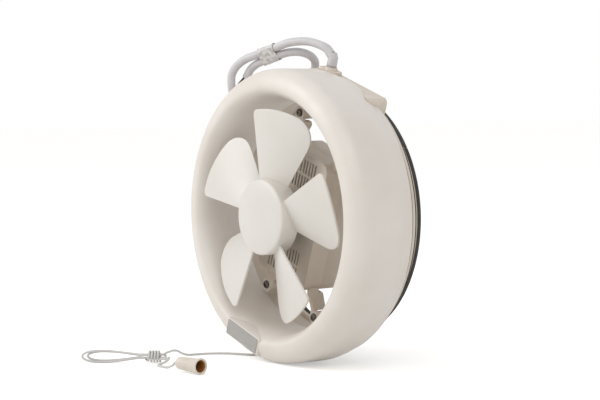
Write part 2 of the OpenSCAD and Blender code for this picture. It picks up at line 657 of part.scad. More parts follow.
module switch_housing() color(ivory_dark) fan() {
    difference() {
        translate([-switch_half_u, switch_bottom, switch_w0])
            cube([2 * switch_half_u, switch_top - switch_bottom, switch_w1 - switch_w0]);
        translate([-switch_half_u + switch_wall, switch_bottom + switch_wall, switch_w0 + switch_wall])
            cube([2 * (switch_half_u - switch_wall), switch_top - switch_bottom - 2 * switch_wall, 40]);
        // way out for the cord
        translate([-3.2, switch_bottom - cut, lever_w0 - 1.5]) cube([6.4, switch_wall + 2 * cut, lever_t + 3]);
    }
    for (p = [lever_at, cam_at]) translate([p[0], p[1], switch_w0 + 1]) cylinder(r = pivot_r, h = 21, $fn = round_fn);
    translate([lever_at[0], lever_at[1], switch_w0 + 1]) cylinder(r = 3, h = 4, $fn = round_fn);
    translate([cam_at[0], cam_at[1], switch_w0 + 1]) cylinder(r = 2.8, h = cam_w0 - switch_w0 - 1.2, $fn = round_fn);
}

module switch_lever() color(cable_white) fan() difference() {
    union() {
        translate([lever_at[0], lever_at[1], lever_w0]) cylinder(r = 3.4, h = lever_t, $fn = round_fn);
        translate([lever_at[0], lever_at[1] - 1.8, lever_w0]) cube([-lever_at[0] - 0.5, 3.6, lever_t]);
        translate([0, lever_at[1], lever_w0]) cylinder(r = 2.4, h = lever_t, $fn = round_fn);
        translate([-4.5, lever_at[1] + 0.8, lever_w0]) cube([3, 2.4, lever_t]);
    }
    translate([lever_at[0], lever_at[1], lever_w0 - cut])
        cylinder(r = pivot_r + pivot_gap, h = lever_t + 2 * cut, $fn = round_fn);
    translate([0, lever_at[1], lever_w0 - cut]) cylinder(r = 1, h = lever_t + 2 * cut, $fn = round_fn);
}

module switch_cam() color([0.75, 0.30, 0.20]) fan() translate([cam_at[0], cam_at[1], cam_w0]) difference() {
    union() {
        cylinder(r = cam_r - 1.2, h = cam_t, $fn = round_fn);
        for (i = [0 : 3]) rotate(22.5 + i * 90) translate([0, -1.3, 0]) cube([cam_r, 2.6, cam_t]);
    }
    translate([0, 0, -cut]) cylinder(r = pivot_r + pivot_gap, h = cam_t + 2 * cut, $fn = round_fn);
}

module switch_contacts() color(brass) fan() {
    for (y = [switch_top - switch_wall - 0.7, switch_bottom + switch_wall])
        translate([1, y, cam_w0]) cube([switch_half_u - switch_wall - 1, 0.7, cam_t]);
    translate([switch_half_u - switch_wall - 0.8, switch_bottom + switch_wall + 2, cam_w0])
        cube([0.8, 10, cam_t]);
}

// Torsion spring round the lever's pivot, its turns drawn as rings
module lever_spring() color(steel_grey) fan() {
    for (i = [0 : 2]) translate([lever_at[0], lever_at[1], lever_w0 - 1.2 - i * 1.4])
        rotate_extrude($fn = round_fn) translate([3.9, 0]) circle(r = 0.4, $fn = 16);
    translate([lever_at[0] + 3.9, lever_at[1], lever_w0 - 4.4]) cylinder(r = 0.38, h = 3.3, $fn = 16);
    translate([lever_at[0] - 3.9, lever_at[1], lever_w0 - 4.4]) cylinder(r = 0.38, h = 3.3, $fn = 16);
    translate([lever_at[0] - 4.2, lever_at[1], lever_w0 - 4.2])
        cube([0.6, switch_top - switch_wall - lever_at[1] - 0.2, 0.6]);
}

module cord_eyelet() color(brass) fan() translate([0, -drum_r, eyelet_w]) rotate([-90, 0, 0]) difference() {
    union() {
        translate([0, 0, -0.9]) cylinder(r = 5, h = 0.9, $fn = round_fn);
        cylinder(r = eyelet_hole_r, h = 5.5, $fn = round_fn);
    }
    translate([0, 0, -cut - 1]) cylinder(r = cord_d / 2 + 0.3, h = 9, $fn = round_fn);
}

switch_housing();
switch_lever();
switch_cam();
switch_contacts();
lever_spring();
cord_eyelet();

// ---- Cords, laid in the fan's standing position: x right, y to the rear, z up ----
function unit(v) = v / norm(v);
function curve_point(a, b, c, d, t) = 0.5 * (2 * b + (c - a) * t + (2 * a - 5 * b + 4 * c - d) * t * t
    + (3 * b - a - 3 * c + d) * t * t * t);
// Smooth curve through the points, n steps to each span; its first and last spans stay straight
function route(p, n) = let (m = len(p)) concat([p[0]],
    [for (i = [1 : m - 3], k = [0 : n - 1]) curve_point(p[i - 1], p[i], p[i + 1], p[i + 2], k / n)],
    [p[m - 2], p[m - 1]]);
function path_length(s) = [for (i = [1 : len(s) - 1]) norm(s[i] - s[i - 1])] * [for (i = [1 : len(s) - 1]) 1];
function tangent(s, i) = i == 0 ? unit(s[1] - s[0]) : i == len(s) - 1 ? unit(s[i] - s[i - 1])
    : unit(unit(s[i + 1] - s[i]) + unit(s[i] - s[i - 1]));
function off_axis(t) = abs(t[2]) < 0.8 ? unit(cross(t, [0, 0, 1])) : unit(cross(t, [1, 0, 0]));
function side_dirs(s) = [for (i = 0, v = off_axis(tangent(s, 0)); i < len(s); i = i + 1,
    v = i < len(s) ? unit(v - (v * tangent(s, i)) * tangent(s, i)) : v) v];

// Round cord swept along the points s as one closed body
module swept(s, r, sides) {
    n = len(s);
    v = side_dirs(s);
    rings = [for (i = [0 : n - 1], k = [0 : sides - 1]) let (a = 360 * k / sides, t = tangent(s, i))
        s[i] + r * (cos(a) * v[i] + sin(a) * cross(t, v[i]))];
    polyhedron(points = rings, faces = concat(
        [for (i = [0 : n - 2], k = [0 : sides - 1]) let (k2 = (k + 1) % sides)
            each [[i * sides + k, (i + 1) * sides + k2, i * sides + k2],
                [i * sides + k, (i + 1) * sides + k, (i + 1) * sides + k2]]],
        [[for (k = [0 : sides - 1]) k]],
        [[for (k = [sides - 1 : -1 : 0]) (n - 1) * sides + k]]));
}

function standing(p) = [p[0] * cos(turn) + p[1] * sin(turn), -p[2], -p[0] * sin(turn) + p[1] * cos(turn)];

// Mains cable: out of the gland, two strands bound together, and a bared end
bundle_dir = [-0.904, -0.313, -0.292];
bundle_mid = [-55.8, -38.5, 157.5];
bundle_step = [0.78, 4.25, -6.97];
function on_bundle(d, k) = bundle_mid + d * bundle_dir + k * bundle_step;
cable_out = [for (v = [box_top + 2, box_top + 12, box_top + 16]) standing([gland_u, v, gland_w])];
cable_route = concat(cable_out,
    [[13.5, -12.8, 152.5], [9, -15, 159], [-0.5, -18.5, 163.4], [-10, -22, 165.8], [-20.5, -26, 166.3]],
    [for (d = [-24.5, -12, 0, 12]) on_bundle(d, 0)],
    [[-79.3, -48, 149.5], [-88, -53, 142.5], [-92, -56, 134], [-92.5, -56, 123.5], [-96, -51, 112.5],
        [-103.5, -40, 103], [-110, -27, 97], [-110, -13, 94], [-99, -3, 95], [-84, -1, 104], [-65, -1, 117],
        [-45, -1, 128], [-30, -2, 136], [-23, -5, 146], [-22, -11.5, 152.5], [-28, -19, 156], [-37, -25, 156]],
    [for (d = [-10, 0, 12]) on_bundle(d, 1)],
    [[-73.6, -40.4, 143.8], [-80.3, -42.3, 138.6], [-85.3, -43.4, 131.6]]);
cable_line = route(cable_route, 2);
cable_end = cable_route[len(cable_route) - 1];
cable_end_dir = unit(cable_end - cable_route[len(cable_route) - 2]);

module mains_cable() color(cable_white) swept(cable_line, cable_d / 2, 10);

module cable_tag() color(cable_white) let (x = unit(bundle_step), z = bundle_dir, y = cross(z, x),
    c = bundle_mid + bundle_step / 2)
    multmatrix([[x[0], y[0], z[0], c[0]], [x[1], y[1], z[1], c[1]], [x[2], y[2], z[2], c[2]]])
        translate([0, 0, -9]) linear_extrude(18) difference() {
            rounded_rect(norm(bundle_step) / 2 + cable_d / 2 + 1, cable_d / 2 + 1, cable_d / 2 + 0.9, 24);
            rounded_rect(norm(bundle_step) / 2 + cable_d / 2 + 0.4, cable_d / 2 + 0.4, cable_d / 2 + 0.3, 24);
        }

core_sides = [for (i = [0 : 2]) let (x = unit(cross(cable_end_dir, [0, 1, 0])), y = cross(cable_end_dir, x))
    1.9 * (cos(i * 120 + 30) * x + sin(i * 120 + 30) * y)];
core_reach = [13, 10.5, 12];
module cable_cores() for (i = [0 : 2]) color([[0.1, 0.45, 0.25], [0.15, 0.15, 0.17], [0.8, 0.78, 0.7]][i])
    swept([for (d = [0, 0.22, 0.5, 0.78, 1]) cable_end + core_sides[i] * (1 + 1.3 * pow(d, 2))
        + d * core_reach[i] * cable_end_dir], 1.05, 8);

mains_cable();
cable_tag();
cable_cores();

// Pull cord: from the eyelet across the surface to its hank, and on to the bell
lie_z = -drum_r + cord_d / 2;
cord_r = cord_d / 2;
hank_origin = [-111.8, -215.5];
hank_z = -133.7;
lay = [0.6, 0.8, 0];
lean = [0.8, -0.6, 0];
// Point in the hank's own directions: along it, towards its open side, and up from its middle
function hank_at(s, d, h) = [hank_origin[0], hank_origin[1], hank_z] + s * lay + d * lean + [0, 0, h];
strand = 0.64 * cord_d;
waist = 55;
wrap_r = strand * sqrt(2) + cord_d + 0.5;
wrap_from = 62.8;
wrap_pitch = cord_d + 0.62;
function hank_loop(tip, fat, d, n) = [for (i = [1 : n - 1]) let (a = 360 * i / n)
    hank_at(tip + (waist - tip) * (0.5 + 0.5 * cos(a)), d,
        fat * sin(a) * pow(sin(a / 2), 1.5) + strand * cos(a / 2))];
hank_start = hank_at(83.2, strand, 4.6);
hank_lead = hank_at(81, strand, 3.9);
hank_line = concat([hank_start, hank_lead, hank_at(79, strand, 2.9), hank_at(77, strand, 1.8),
        hank_at(74, strand, strand), hank_at(64, strand, strand), hank_at(waist, strand, strand)],
    hank_loop(0, 6.6, strand, 24),
    [hank_at(waist, strand, -strand), hank_at(64, strand, -strand), hank_at(77.4, strand, -strand)],
    [for (a = [25 : 32.5 : 155]) hank_at(77.6 + 1.9 * sin(a), strand * cos(a), -strand * cos(a))],
    [hank_at(77.4, -strand, strand), hank_at(64, -strand, strand), hank_at(waist, -strand, strand)],
    hank_loop(5, 5.2, -strand, 24),
    [hank_at(waist, -strand, -strand), hank_at(58, -strand - 0.4, -strand - 0.4)],
    [for (i = [0 : 4]) let (t = i / 5, r = strand * sqrt(2) + 0.6 + (wrap_r - strand * sqrt(2) - 0.6) * t, a = 225 + 18 * i)
        hank_at(59.6 + 0.75 * i, r * cos(a), r * sin(a))],
    [for (i = [0 : 12 * wrap_turns]) let (a = 315 + 30 * i)
        hank_at(wrap_from + wrap_pitch * (i / 12 + 0.17), wrap_r * cos(a), wrap_r * sin(a))]);
function least(v) = min(v);
hank_gap = least([for (i = [0 : len(hank_line) - 6], j = [i + 5 : len(hank_line) - 1])
    norm(hank_line[i] - hank_line[j])]) - cord_d;
echo(hank_gap = hank_gap);
hank_end = hank_line[len(hank_line) - 1];
hank_end_dir = tangent(hank_line, len(hank_line) - 1);

run_route = concat([for (v = [5.6, 3, -1.4]) standing([0, -drum_r + v, eyelet_w])],
    [[-44.6, -43.8, -137.4], [-45.5, -47, lie_z], [-49, -54, lie_z], [-57.5, -61.5, lie_z], [-69, -68, lie_z],
        [-79.5, -76.5, lie_z], [-86.5, -89, lie_z], [-88.8, -101, lie_z], [-86, -113, -138], [-77.5, -125, -134.6],
        [-66.4, -136.7, -130.2]],
    [hank_start + (hank_start - hank_lead) * 1.5, hank_start]);
run_line = route(run_route, 3);

bell_mouth = [20.8, -167.6, -drum_r + bell_d / 2 + 0.1];
bell_dir = [0.9943, 0.107, 0];
bell_tail = bell_mouth - bell_length * bell_dir;
tail_route = concat([hank_end, hank_end + hank_end_dir * cord_d * 1.1],
    [hank_at(80.5, 9, -1.2), hank_at(83.6, 13, 0.6), hank_at(82.6, 17.5, -1.4)],
    [hank_at(77.5, 21, -4), hank_at(74, 24, lie_z - hank_z), hank_at(75.4, 28, lie_z - hank_z),
        hank_at(80, 33, lie_z - hank_z), hank_at(84.5, 40, -4.6), hank_at(89.5, 46.5, -2)],
    [bell_tail - 4 * bell_dir, bell_tail + 2.5 * bell_dir]);
tail_line = route(tail_route, 3);

module pull_cord_run() color(cord_grey) swept(run_line, cord_r, 8);
module pull_cord_hank() color(cord_grey) swept(hank_line, cord_r, 6);
module pull_cord_tail() color(cord_grey) swept(tail_line, cord_r, 8);

module along_bell() translate(bell_tail) rotate([0, 0, atan2(bell_dir[1], bell_dir[0])]) rotate([0, 90, 0]) children();

module pull_bell() color([0.83, 0.80, 0.74]) along_bell() difference() {
    rotate_extrude($fn = 60) polygon(concat([[0, 0], [2.6, 0]],
        arc(2.6, 3.6, 3.6, 3.6, -60, 0, 4),
        [[bell_d / 2 - 0.4, bell_length - 2], [bell_d / 2, bell_length - 1.2], [bell_d / 2, bell_length - 0.4],
        [bell_d / 2 - 0.4, bell_length], [bell_d / 2 - 2, bell_length], [bell_d / 2 - 2.4, bell_length - 0.6],
        [4.2, 4], [0, 3.4]]));
    translate([0, 0, -cut]) cylinder(r = cord_r + 0.2, h = 6, $fn = round_fn);
}

module bell_stop() color([0.76, 0.45, 0.20]) along_bell() difference() {
    translate([0, 0, 4.6]) rotate_extrude($fn = round_fn)
        polygon([[0, 0], [3.4, 0], [3.9, 0.6], [4.2, 4], [3.4, 5], [0, 5.4]]);
    translate([0, 0, 3]) cylinder(r = cord_r + 0.2, h = 3, $fn = round_fn);
}

pull_cord_run();
pull_cord_hank();
pull_cord_tail();
pull_bell();
bell_stop();

echo(mains_cable_length = path_length(cable_line), pull_run_length = path_length(run_line),
    pull_hank_length = path_length(hank_line), pull_tail_length = path_length(tail_line));
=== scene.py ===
# %% [markdown]
# # A round window exhaust fan, dressed around its CAD frame
# The fan stands on its rim, turned 18 degrees about its own axis. Its mains cable is bound in a loop over the
# drum, and its pull cord lies on the floor in a tied hank. The CAD frame fixes every place and size. This file
# gives the fan its surfaces, and remodels the moulded parts and cords that need softer shapes than solids have.

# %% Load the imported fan
import math

import bpy
from mathutils import Matrix, Vector, noise


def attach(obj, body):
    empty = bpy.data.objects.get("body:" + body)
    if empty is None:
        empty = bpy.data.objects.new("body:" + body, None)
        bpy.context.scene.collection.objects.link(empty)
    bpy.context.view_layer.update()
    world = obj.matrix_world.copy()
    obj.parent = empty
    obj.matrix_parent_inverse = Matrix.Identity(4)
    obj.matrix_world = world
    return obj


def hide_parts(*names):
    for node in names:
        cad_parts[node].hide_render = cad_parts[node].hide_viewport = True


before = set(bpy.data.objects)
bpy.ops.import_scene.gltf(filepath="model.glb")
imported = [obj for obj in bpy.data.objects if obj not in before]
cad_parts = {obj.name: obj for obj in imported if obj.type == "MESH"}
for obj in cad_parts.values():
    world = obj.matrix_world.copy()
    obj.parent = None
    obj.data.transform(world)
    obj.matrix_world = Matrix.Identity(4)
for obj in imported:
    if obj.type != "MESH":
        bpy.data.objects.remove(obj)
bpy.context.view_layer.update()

print("nodes in the frame:", len(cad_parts))

# %% [markdown]
# ## The fan's own directions
# The fan was drawn in millimetres, with u to its right, v up and w towards the room, and then stood on its rim
# with a turn of 18 degrees. One matrix holds that step, so each piece is modelled about a vertical axis, in
# millimetres, and then put in place. A lathe shape modelled where it stands would be hard to read.

# %% Fan to frame
MM = 0.001
TURN = math.radians(18)
FAN = Matrix(((math.cos(TURN), math.sin(TURN), 0, 0), (0, 0, -1, 0),
              (-math.sin(TURN), math.cos(TURN), 0, 0), (0, 0, 0, 1)))
DRUM_R = 140
FLOOR_Z = -DRUM_R
EYELET_W = 43


def standing(u, v, w):
    """A point of the fan in the frame's directions, still in millimetres."""
    return FAN @ Vector((u, v, w))


def linked(name, data):
    """A new object, linked to the scene."""
    made = bpy.data.objects.new(name, data)
    bpy.context.scene.collection.objects.link(made)
    return made


def face_count(*pieces):
    """How many faces the pieces have in all."""
    return sum(len(piece.data.polygons) for piece in pieces)


print("cord's eyelet, mm:", [round(x, 1) for x in standing(0, -DRUM_R, EYELET_W)])

# %% [markdown]
# ## Camera
# The photograph was taken from the front right, a little above the fan's axis, through a fairly long lens. The
# distance and the lens come from fitting circles of the drum and its lip to the picture. The camera comes
# first, because the cords are judged against what it sees.

# %% Camera
VIEW_TARGET = Vector((0.0542, -0.080, 0.0187))
VIEW_AZIMUTH, VIEW_ELEVATION = math.radians(53.7), math.radians(3.51)
VIEW_DISTANCE = 1.8
LENS_MM, SENSOR_MM = 117.2, 36

camera = linked("studio_camera", bpy.data.cameras.new("studio_camera"))
towards_camera = Vector((math.sin(VIEW_AZIMUTH) * math.cos(VIEW_ELEVATION),
                         -math.cos(VIEW_AZIMUTH) * math.cos(VIEW_ELEVATION), math.sin(VIEW_ELEVATION)))
camera.location = VIEW_TARGET + towards_camera * VIEW_DISTANCE
camera.rotation_mode = "QUATERNION"
camera.rotation_quaternion = (-towards_camera).to_track_quat("-Z", "Y")
camera.data.lens = LENS_MM
camera.data.sensor_width = SENSOR_MM
camera.data.clip_start, camera.data.clip_end = 0.05, 60
bpy.context.scene.camera = camera
print("camera at", [round(x, 3) for x in camera.location])

# %% [markdown]
# ## Smooth routes
# A cord's middle line comes first. It is given by a few listed points, and a Catmull-Rom curve runs
# through all of them without kinks. It is then cut into even steps, so that a woven pattern keeps its pitch.

# %% Route helpers
def between(a, b, c, d, t):
    """A point of the Catmull-Rom curve from b to c."""
    square, cube = 2 * a - 5 * b + 4 * c - d, 3 * b - a - 3 * c + d
    return 0.5 * (2 * b + (c - a) * t + square * t * t + cube * t ** 3)


def smooth_route(points, steps=12):
    """A smooth line through the points; its first and last stretches stay straight."""
    points = [Vector(p) for p in points]
    line = [points[0]]
    for i in range(1, len(points) - 2):
        line += [between(*points[i - 1:i + 3], k / steps) for k in range(steps)]
    return line + points[-2:]


def route_length(line):
    """The line's length, in the units of its points."""
    return sum((b - a).length for a, b in zip(line, line[1:]))


def even_steps(line, step):
    """The line again, with its points a fixed step apart."""
    count = max(2, round(route_length(line) / step))
    step = route_length(line) / count
    out, behind = [line[0]], 0.0
    for a, b in zip(line, line[1:]):
        span = (b - a).length
        while len(out) * step <= behind + span + 1e-9 and len(out) < count:
            out.append(a.lerp(b, (len(out) * step - behind) / span))
        behind += span
    return out + [line[-1]]


def cross_directions(line):
    """At each point of a line, two directions across it that don't twist along the way."""
    last = len(line) - 1
    ahead = [(line[min(i + 1, last)] - line[max(i - 1, 0)]).normalized() for i in range(last + 1)]
    side = ahead[0].cross(Vector((0, 0, 1) if abs(ahead[0].z) < 0.8 else (1, 0, 0)))
    out = []
    for direction in ahead:
        side = (side - side.dot(direction) * direction).normalized()
        out.append((side.copy(), direction.cross(side)))
    return out


def tube(name, line, radius, sides, swell=lambda turn, along: 0.0):
    """A closed tube along a line in mm, with a UV map of turns round it and millimetres along it."""
    verts, faces, uvs, along = [], [], [], 0.0
    for i, ((side, up), point) in enumerate(zip(cross_directions(line), line)):
        along += (point - line[i - 1]).length if i else 0.0
        for k in range(sides):
            a = math.tau * k / sides
            r = radius * (1 + swell(k / sides, along))
            verts.append((point + r * (math.cos(a) * side + math.sin(a) * up)) * MM)
        uvs.append(along)
    for i in range(len(line) - 1):
        faces += [(i * sides + k, i * sides + (k + 1) % sides, (i + 1) * sides + (k + 1) % sides,
                   (i + 1) * sides + k) for k in range(sides)]
    walls = len(faces)
    faces += [tuple(range(sides))[::-1], tuple((len(line) - 1) * sides + k for k in range(sides))]
    mesh = bpy.data.meshes.new(name)
    mesh.from_pydata(verts, [], faces)
    layer = mesh.uv_layers.new(name="route")
    for f, polygon in enumerate(mesh.polygons):
        for j, loop in enumerate(polygon.loop_indices):
            if f < walls:
                row, k = divmod(f, sides)
                layer.data[loop].uv = ((k + (j in (1, 2))) / sides, uvs[row + (j in (2, 3))])
        polygon.use_smooth = f < walls
    return linked(name, mesh)


print("route helpers are ready")

# %% [markdown]
# ## Pull cord
# A braided cord 2.2 mm thick drops from the switch's eyelet to the floor, runs to a small hank that is bound
# round its waist with four turns of the same cord, and ends in a moulded bell. It is one piece of cord, so it is
# one tube. Its braid is real relief: four strands run each way round it, and the surface rises where one lies
# on top.

# %% Pull cord's line
CORD_D = 2.2
LIE_Z = FLOOR_Z + CORD_D / 2
HANK_ORIGIN = Vector((-111.8, -215.5, -133.7))
HANK_LAY, HANK_LEAN = Vector((0.6, 0.8, 0)), Vector((0.8, -0.6, 0))
STRAND = 0.64 * CORD_D  # half the distance between two strands of the hank
WAIST = 55
BUNDLE_R = STRAND * math.sqrt(2)
WRAP_R, WRAP_FROM, WRAP_PITCH, WRAP_TURNS = BUNDLE_R + CORD_D + 0.5, 62.8, CORD_D + 0.62, 4
TURN_STEPS = 12
PULL_STEP = 0.6


def hank_at(s, d, h):
    """A point of the hank: along it, across it, and up from its middle."""
    return HANK_ORIGIN + s * HANK_LAY + d * HANK_LEAN + Vector((0, 0, h))


def hank_loop(tip, fat, d, count=24):
    """One loop of the hank, from its waist round the tip and back."""
    out = []
    for i in range(1, count):
        a = math.tau * i / count
        out.append(hank_at(tip + (WAIST - tip) * (0.5 + 0.5 * math.cos(a)), d,
                           fat * math.sin(a) * math.sin(a / 2) ** 1.5 + STRAND * math.cos(a / 2)))
    return out


def turns(count, radius, start, step, s_of):
    """Points that go round the hank's waist."""
    angles = [math.radians(start + step * i) for i in range(count)]
    return [hank_at(s_of(i), radius(i) * math.cos(a), radius(i) * math.sin(a)) for i, a in enumerate(angles)]


hank_start, hank_lead = hank_at(83.2, STRAND, 4.6), hank_at(81, STRAND, 3.9)
hank = [hank_lead, hank_at(79, STRAND, 2.9), hank_at(77, STRAND, 1.8)]
hank += [hank_at(s, STRAND, STRAND) for s in (74, 64, WAIST)] + hank_loop(0, 6.6, STRAND)
hank += [hank_at(s, STRAND, -STRAND) for s in (WAIST, 64, 77.4)]
for degrees in (25, 57.5, 90, 122.5, 155):
    a = math.radians(degrees)
    hank.append(hank_at(77.6 + 1.9 * math.sin(a), STRAND * math.cos(a), -STRAND * math.cos(a)))
hank += [hank_at(s, -STRAND, STRAND) for s in (77.4, 64, WAIST)] + hank_loop(5, 5.2, -STRAND)
hank += [hank_at(WAIST, -STRAND, -STRAND), hank_at(58, -STRAND - 0.4, -STRAND - 0.4)]
inner_r = BUNDLE_R + 0.6
hank += turns(5, lambda i: inner_r + (WRAP_R - inner_r) * i / 5, 225, 18, lambda i: 59.6 + 0.75 * i)
hank += turns(TURN_STEPS * WRAP_TURNS + 1, lambda i: WRAP_R, 315, 360 / TURN_STEPS,
              lambda i: WRAP_FROM + WRAP_PITCH * (i / TURN_STEPS + 0.17))
hank_end, hank_end_dir = hank[-1], (hank[-1] - hank[-2]).normalized()

run = [standing(0, v, EYELET_W) for v in (-134.4, -137, -141.4)]
run += [(-44.6, -43.8, -137.4), (-45.5, -47, LIE_Z), (-49, -54, LIE_Z), (-57.5, -61.5, LIE_Z),
        (-69, -68, LIE_Z), (-79.5, -76.5, LIE_Z), (-86.5, -89, LIE_Z), (-88.8, -101, LIE_Z), (-86, -113, -138),
        (-77.5, -125, -134.6), (-66.4, -136.7, -130.2), hank_start + (hank_start - hank_lead) * 1.5, hank_start]

BELL_D, BELL_LENGTH = 15.4, 33
BELL_DIR = Vector((0.9943, 0.107, 0))
bell_mouth = Vector((20.8, -167.6, FLOOR_Z + BELL_D / 2 + 0.1))
bell_tail = bell_mouth - BELL_LENGTH * BELL_DIR
lying = LIE_Z - HANK_ORIGIN.z
tail = [hank_end + hank_end_dir * CORD_D * 1.1]
tail += [hank_at(*at) for at in ((80.5, 9, -1.2), (83.6, 13, 0.6), (82.6, 17.5, -1.4), (77.5, 21, -4),
                                 (74, 24, lying), (75.4, 28, lying), (80, 33, lying), (84.5, 40, -4.6),
                                 (89.5, 46.5, -2))]
tail += [bell_tail - 4 * BELL_DIR, bell_tail + 2.5 * BELL_DIR]

pull_line = even_steps(smooth_route(run + hank + tail), PULL_STEP)

# %% Pull cord's braid
BRAID_STRANDS, BRAID_PITCH = 4, 7.2


def braid(turn, along):
    """How far the braid stands out, from two sets of strands that cross."""
    one, other = (math.cos(math.tau * BRAID_STRANDS * (turn + way * along / BRAID_PITCH)) for way in (1, -1))
    return 0.05 * max(one, other) - 0.02


pull_cord = tube("pull_cord_braided", pull_line, CORD_D / 2, 16, braid)
print("pull cord faces:", face_count(pull_cord))

# %% [markdown]
# ## Mains cable
# A round three-core flex, 8 mm over its PVC sheath, comes up out of the terminal box, is bound to its own end
# with a wrap of film, hangs behind the drum in one loop, and ends in three bared cores. Stiff flex keeps wide
# bends, so the points are spaced widely and the curve does the rest.

# %% Mains cable's line
CABLE_D, CABLE_STEP = 8.0, 1.6
BUNDLE_DIR = Vector((-0.904, -0.313, -0.292))
BUNDLE_MID = Vector((-55.8, -38.5, 157.5))
BUNDLE_STEP = Vector((0.78, 4.25, -6.97))
GLAND_U, GLAND_W, BOX_TOP = -32, 12, 133


def on_bundle(d, k):
    """A point of strand k where the two strands are bound."""
    return BUNDLE_MID + d * BUNDLE_DIR + k * BUNDLE_STEP


cable_points = [standing(GLAND_U, BOX_TOP + rise, GLAND_W) for rise in (2, 12, 16)]
cable_points += [(13.5, -12.8, 152.5), (9, -15, 159), (-0.5, -18.5, 163.4), (-10, -22, 165.8),
                 (-20.5, -26, 166.3)]
cable_points += [on_bundle(d, 0) for d in (-24.5, -12, 0, 12)]
cable_points += [(-79.3, -48, 149.5), (-88, -53, 142.5), (-92, -56, 134), (-92.5, -56, 123.5), (-96, -51, 112.5),
                 (-103.5, -40, 103), (-110, -27, 97), (-110, -13, 94), (-99, -3, 95), (-84, -1, 104),
                 (-65, -1, 117), (-45, -1, 128), (-30, -2, 136), (-23, -5, 146), (-22, -11.5, 152.5),
                 (-28, -19, 156), (-37, -25, 156)]
cable_points += [on_bundle(d, 1) for d in (-10, 0, 12)]
cable_points += [(-73.6, -40.4, 143.8), (-80.3, -42.3, 138.6), (-85.3, -43.4, 131.6)]
cable_line = even_steps(smooth_route(cable_points), CABLE_STEP)
cable_end = Vector(cable_points[-1])
cable_end_dir = (cable_end - Vector(cable_points[-2])).normalized()

# %% Sheath and cores
mains_sheath = tube("mains_cable_sheath", cable_line, CABLE_D / 2, 28)

CORE_REACH = {"core_earth": 13, "core_live": 10.5, "core_neutral": 12}
CORE_OFF, CORE_R, COPPER_R = 1.9, 1.05, 0.62
BARED, TUCKED_IN = 3.2, 3.6  # how far before its end a core's insulation stops, and its copper begins


def strands(turn, along):
    """Seven fine strands twisted together, each a place further in 2.4 mm."""
    return 0.12 * math.cos(math.tau * (7 * turn + along / 2.4))


core_across = cable_end_dir.cross(Vector((0, 1, 0))).normalized()
core_up = cable_end_dir.cross(core_across)
cores, core_tips = [], []
for i, (name, reach) in enumerate(CORE_REACH.items()):
    a = math.radians(i * 120 + 30)
    side = CORE_OFF * (math.cos(a) * core_across + math.sin(a) * core_up)
    line = smooth_route([cable_end + side * (1 + 1.3 * d * d) + d * reach * cable_end_dir
                         for d in (-0.1, 0, 0.22, 0.5, 0.78, 1)], 6)
    ahead = (line[-1] - line[-2]).normalized()
    cores.append(tube(name, line[:-1] + [line[-1] - BARED * ahead], CORE_R, 16))
    tip_line = [line[-1] - TUCKED_IN * ahead + ahead * s for s in (0, 0.6, 1.2, 1.8, 2.4, 3.0, 3.6)]
    core_tips.append(tube(name + "_strands", tip_line, COPPER_R, 28, strands))
print("bared cores:", [c.name for c in cores])

# %% [markdown]
# ## How each finish is made
# A finish starts from what the real one is: its colour, how it scatters light, and the marks that its making
# left. Colours are hex values as a picture shows them, and one function makes them linear. Another adds a node
# with its settings and links. Each pattern reads Object coordinates, which are metres in the frame, so a noise
# scale of 1/0.0004 has grains 0.4 mm wide.

# %% Finish helpers
def linear(hex_colour):
    """An sRGB hex colour as the linear numbers that a shader takes."""
    parts = [int(hex_colour[i:i + 2], 16) / 255 for i in (0, 2, 4)]
    return tuple(c / 12.92 if c <= 0.04045 else ((c + 0.055) / 1.055) ** 2.4 for c in parts) + (1.0,)


def add(tree, kind, sockets=None, **settings):
    """A node with its settings, and with each named socket set or linked."""
    made = tree.nodes.new("ShaderNode" + kind)
    for key, value in settings.items():
        setattr(made, key, value)
    for key, value in (sockets or {}).items():
        if isinstance(value, bpy.types.NodeSocket):
            tree.links.new(value, made.inputs[key])
        else:
            made.inputs[key].default_value = value
    return made


def new_finish(name, colour, roughness, **sockets):
    """A material with plain values on its shader; the patterns are linked in afterwards."""
    material = bpy.data.materials.new(name)
    material.use_nodes = True
    tree = material.node_tree
    shader = tree.nodes["Principled BSDF"]
    shader.inputs["Base Color"].default_value = linear(colour)
    shader.inputs["Roughness"].default_value = roughness
    for key, value in sockets.items():
        shader.inputs[key.replace("_", " ")].default_value = value
    return material, tree, shader


def grains(width_mm):
    """The noise scale whose grains are that wide."""
    return 1 / (width_mm * MM)


def two_tones(tree, factor, light, dark):
    """Colour that moves between two tones."""
    tones = {0: factor, 6: linear(light), 7: linear(dark)}
    return add(tree, "Mix", tones, data_type="RGBA").outputs[2]


def patchy(tree, where, width_mm, low=0.35, high=0.65, detail=4):
    """A soft noise from 0 to 1 whose patches are that wide."""
    cloud = add(tree, "TexNoise", {"Vector": where, "Scale": grains(width_mm), "Detail": detail})
    sockets = {"Value": cloud.outputs["Fac"], "From Min": low, "From Max": high}
    return add(tree, "MapRange", sockets).outputs["Result"]


def relief(tree, height, depth_mm):
    """Bump from a height of 0 to 1 that stands for a real depth."""
    return add(tree, "Bump", {"Height": height, "Distance": depth_mm * MM}).outputs["Normal"]


def dress(tree, shader, colour, bump):
    """Colour and bump, linked to the shader."""
    tree.links.new(colour, shader.inputs["Base Color"])
    tree.links.new(bump, shader.inputs["Normal"])


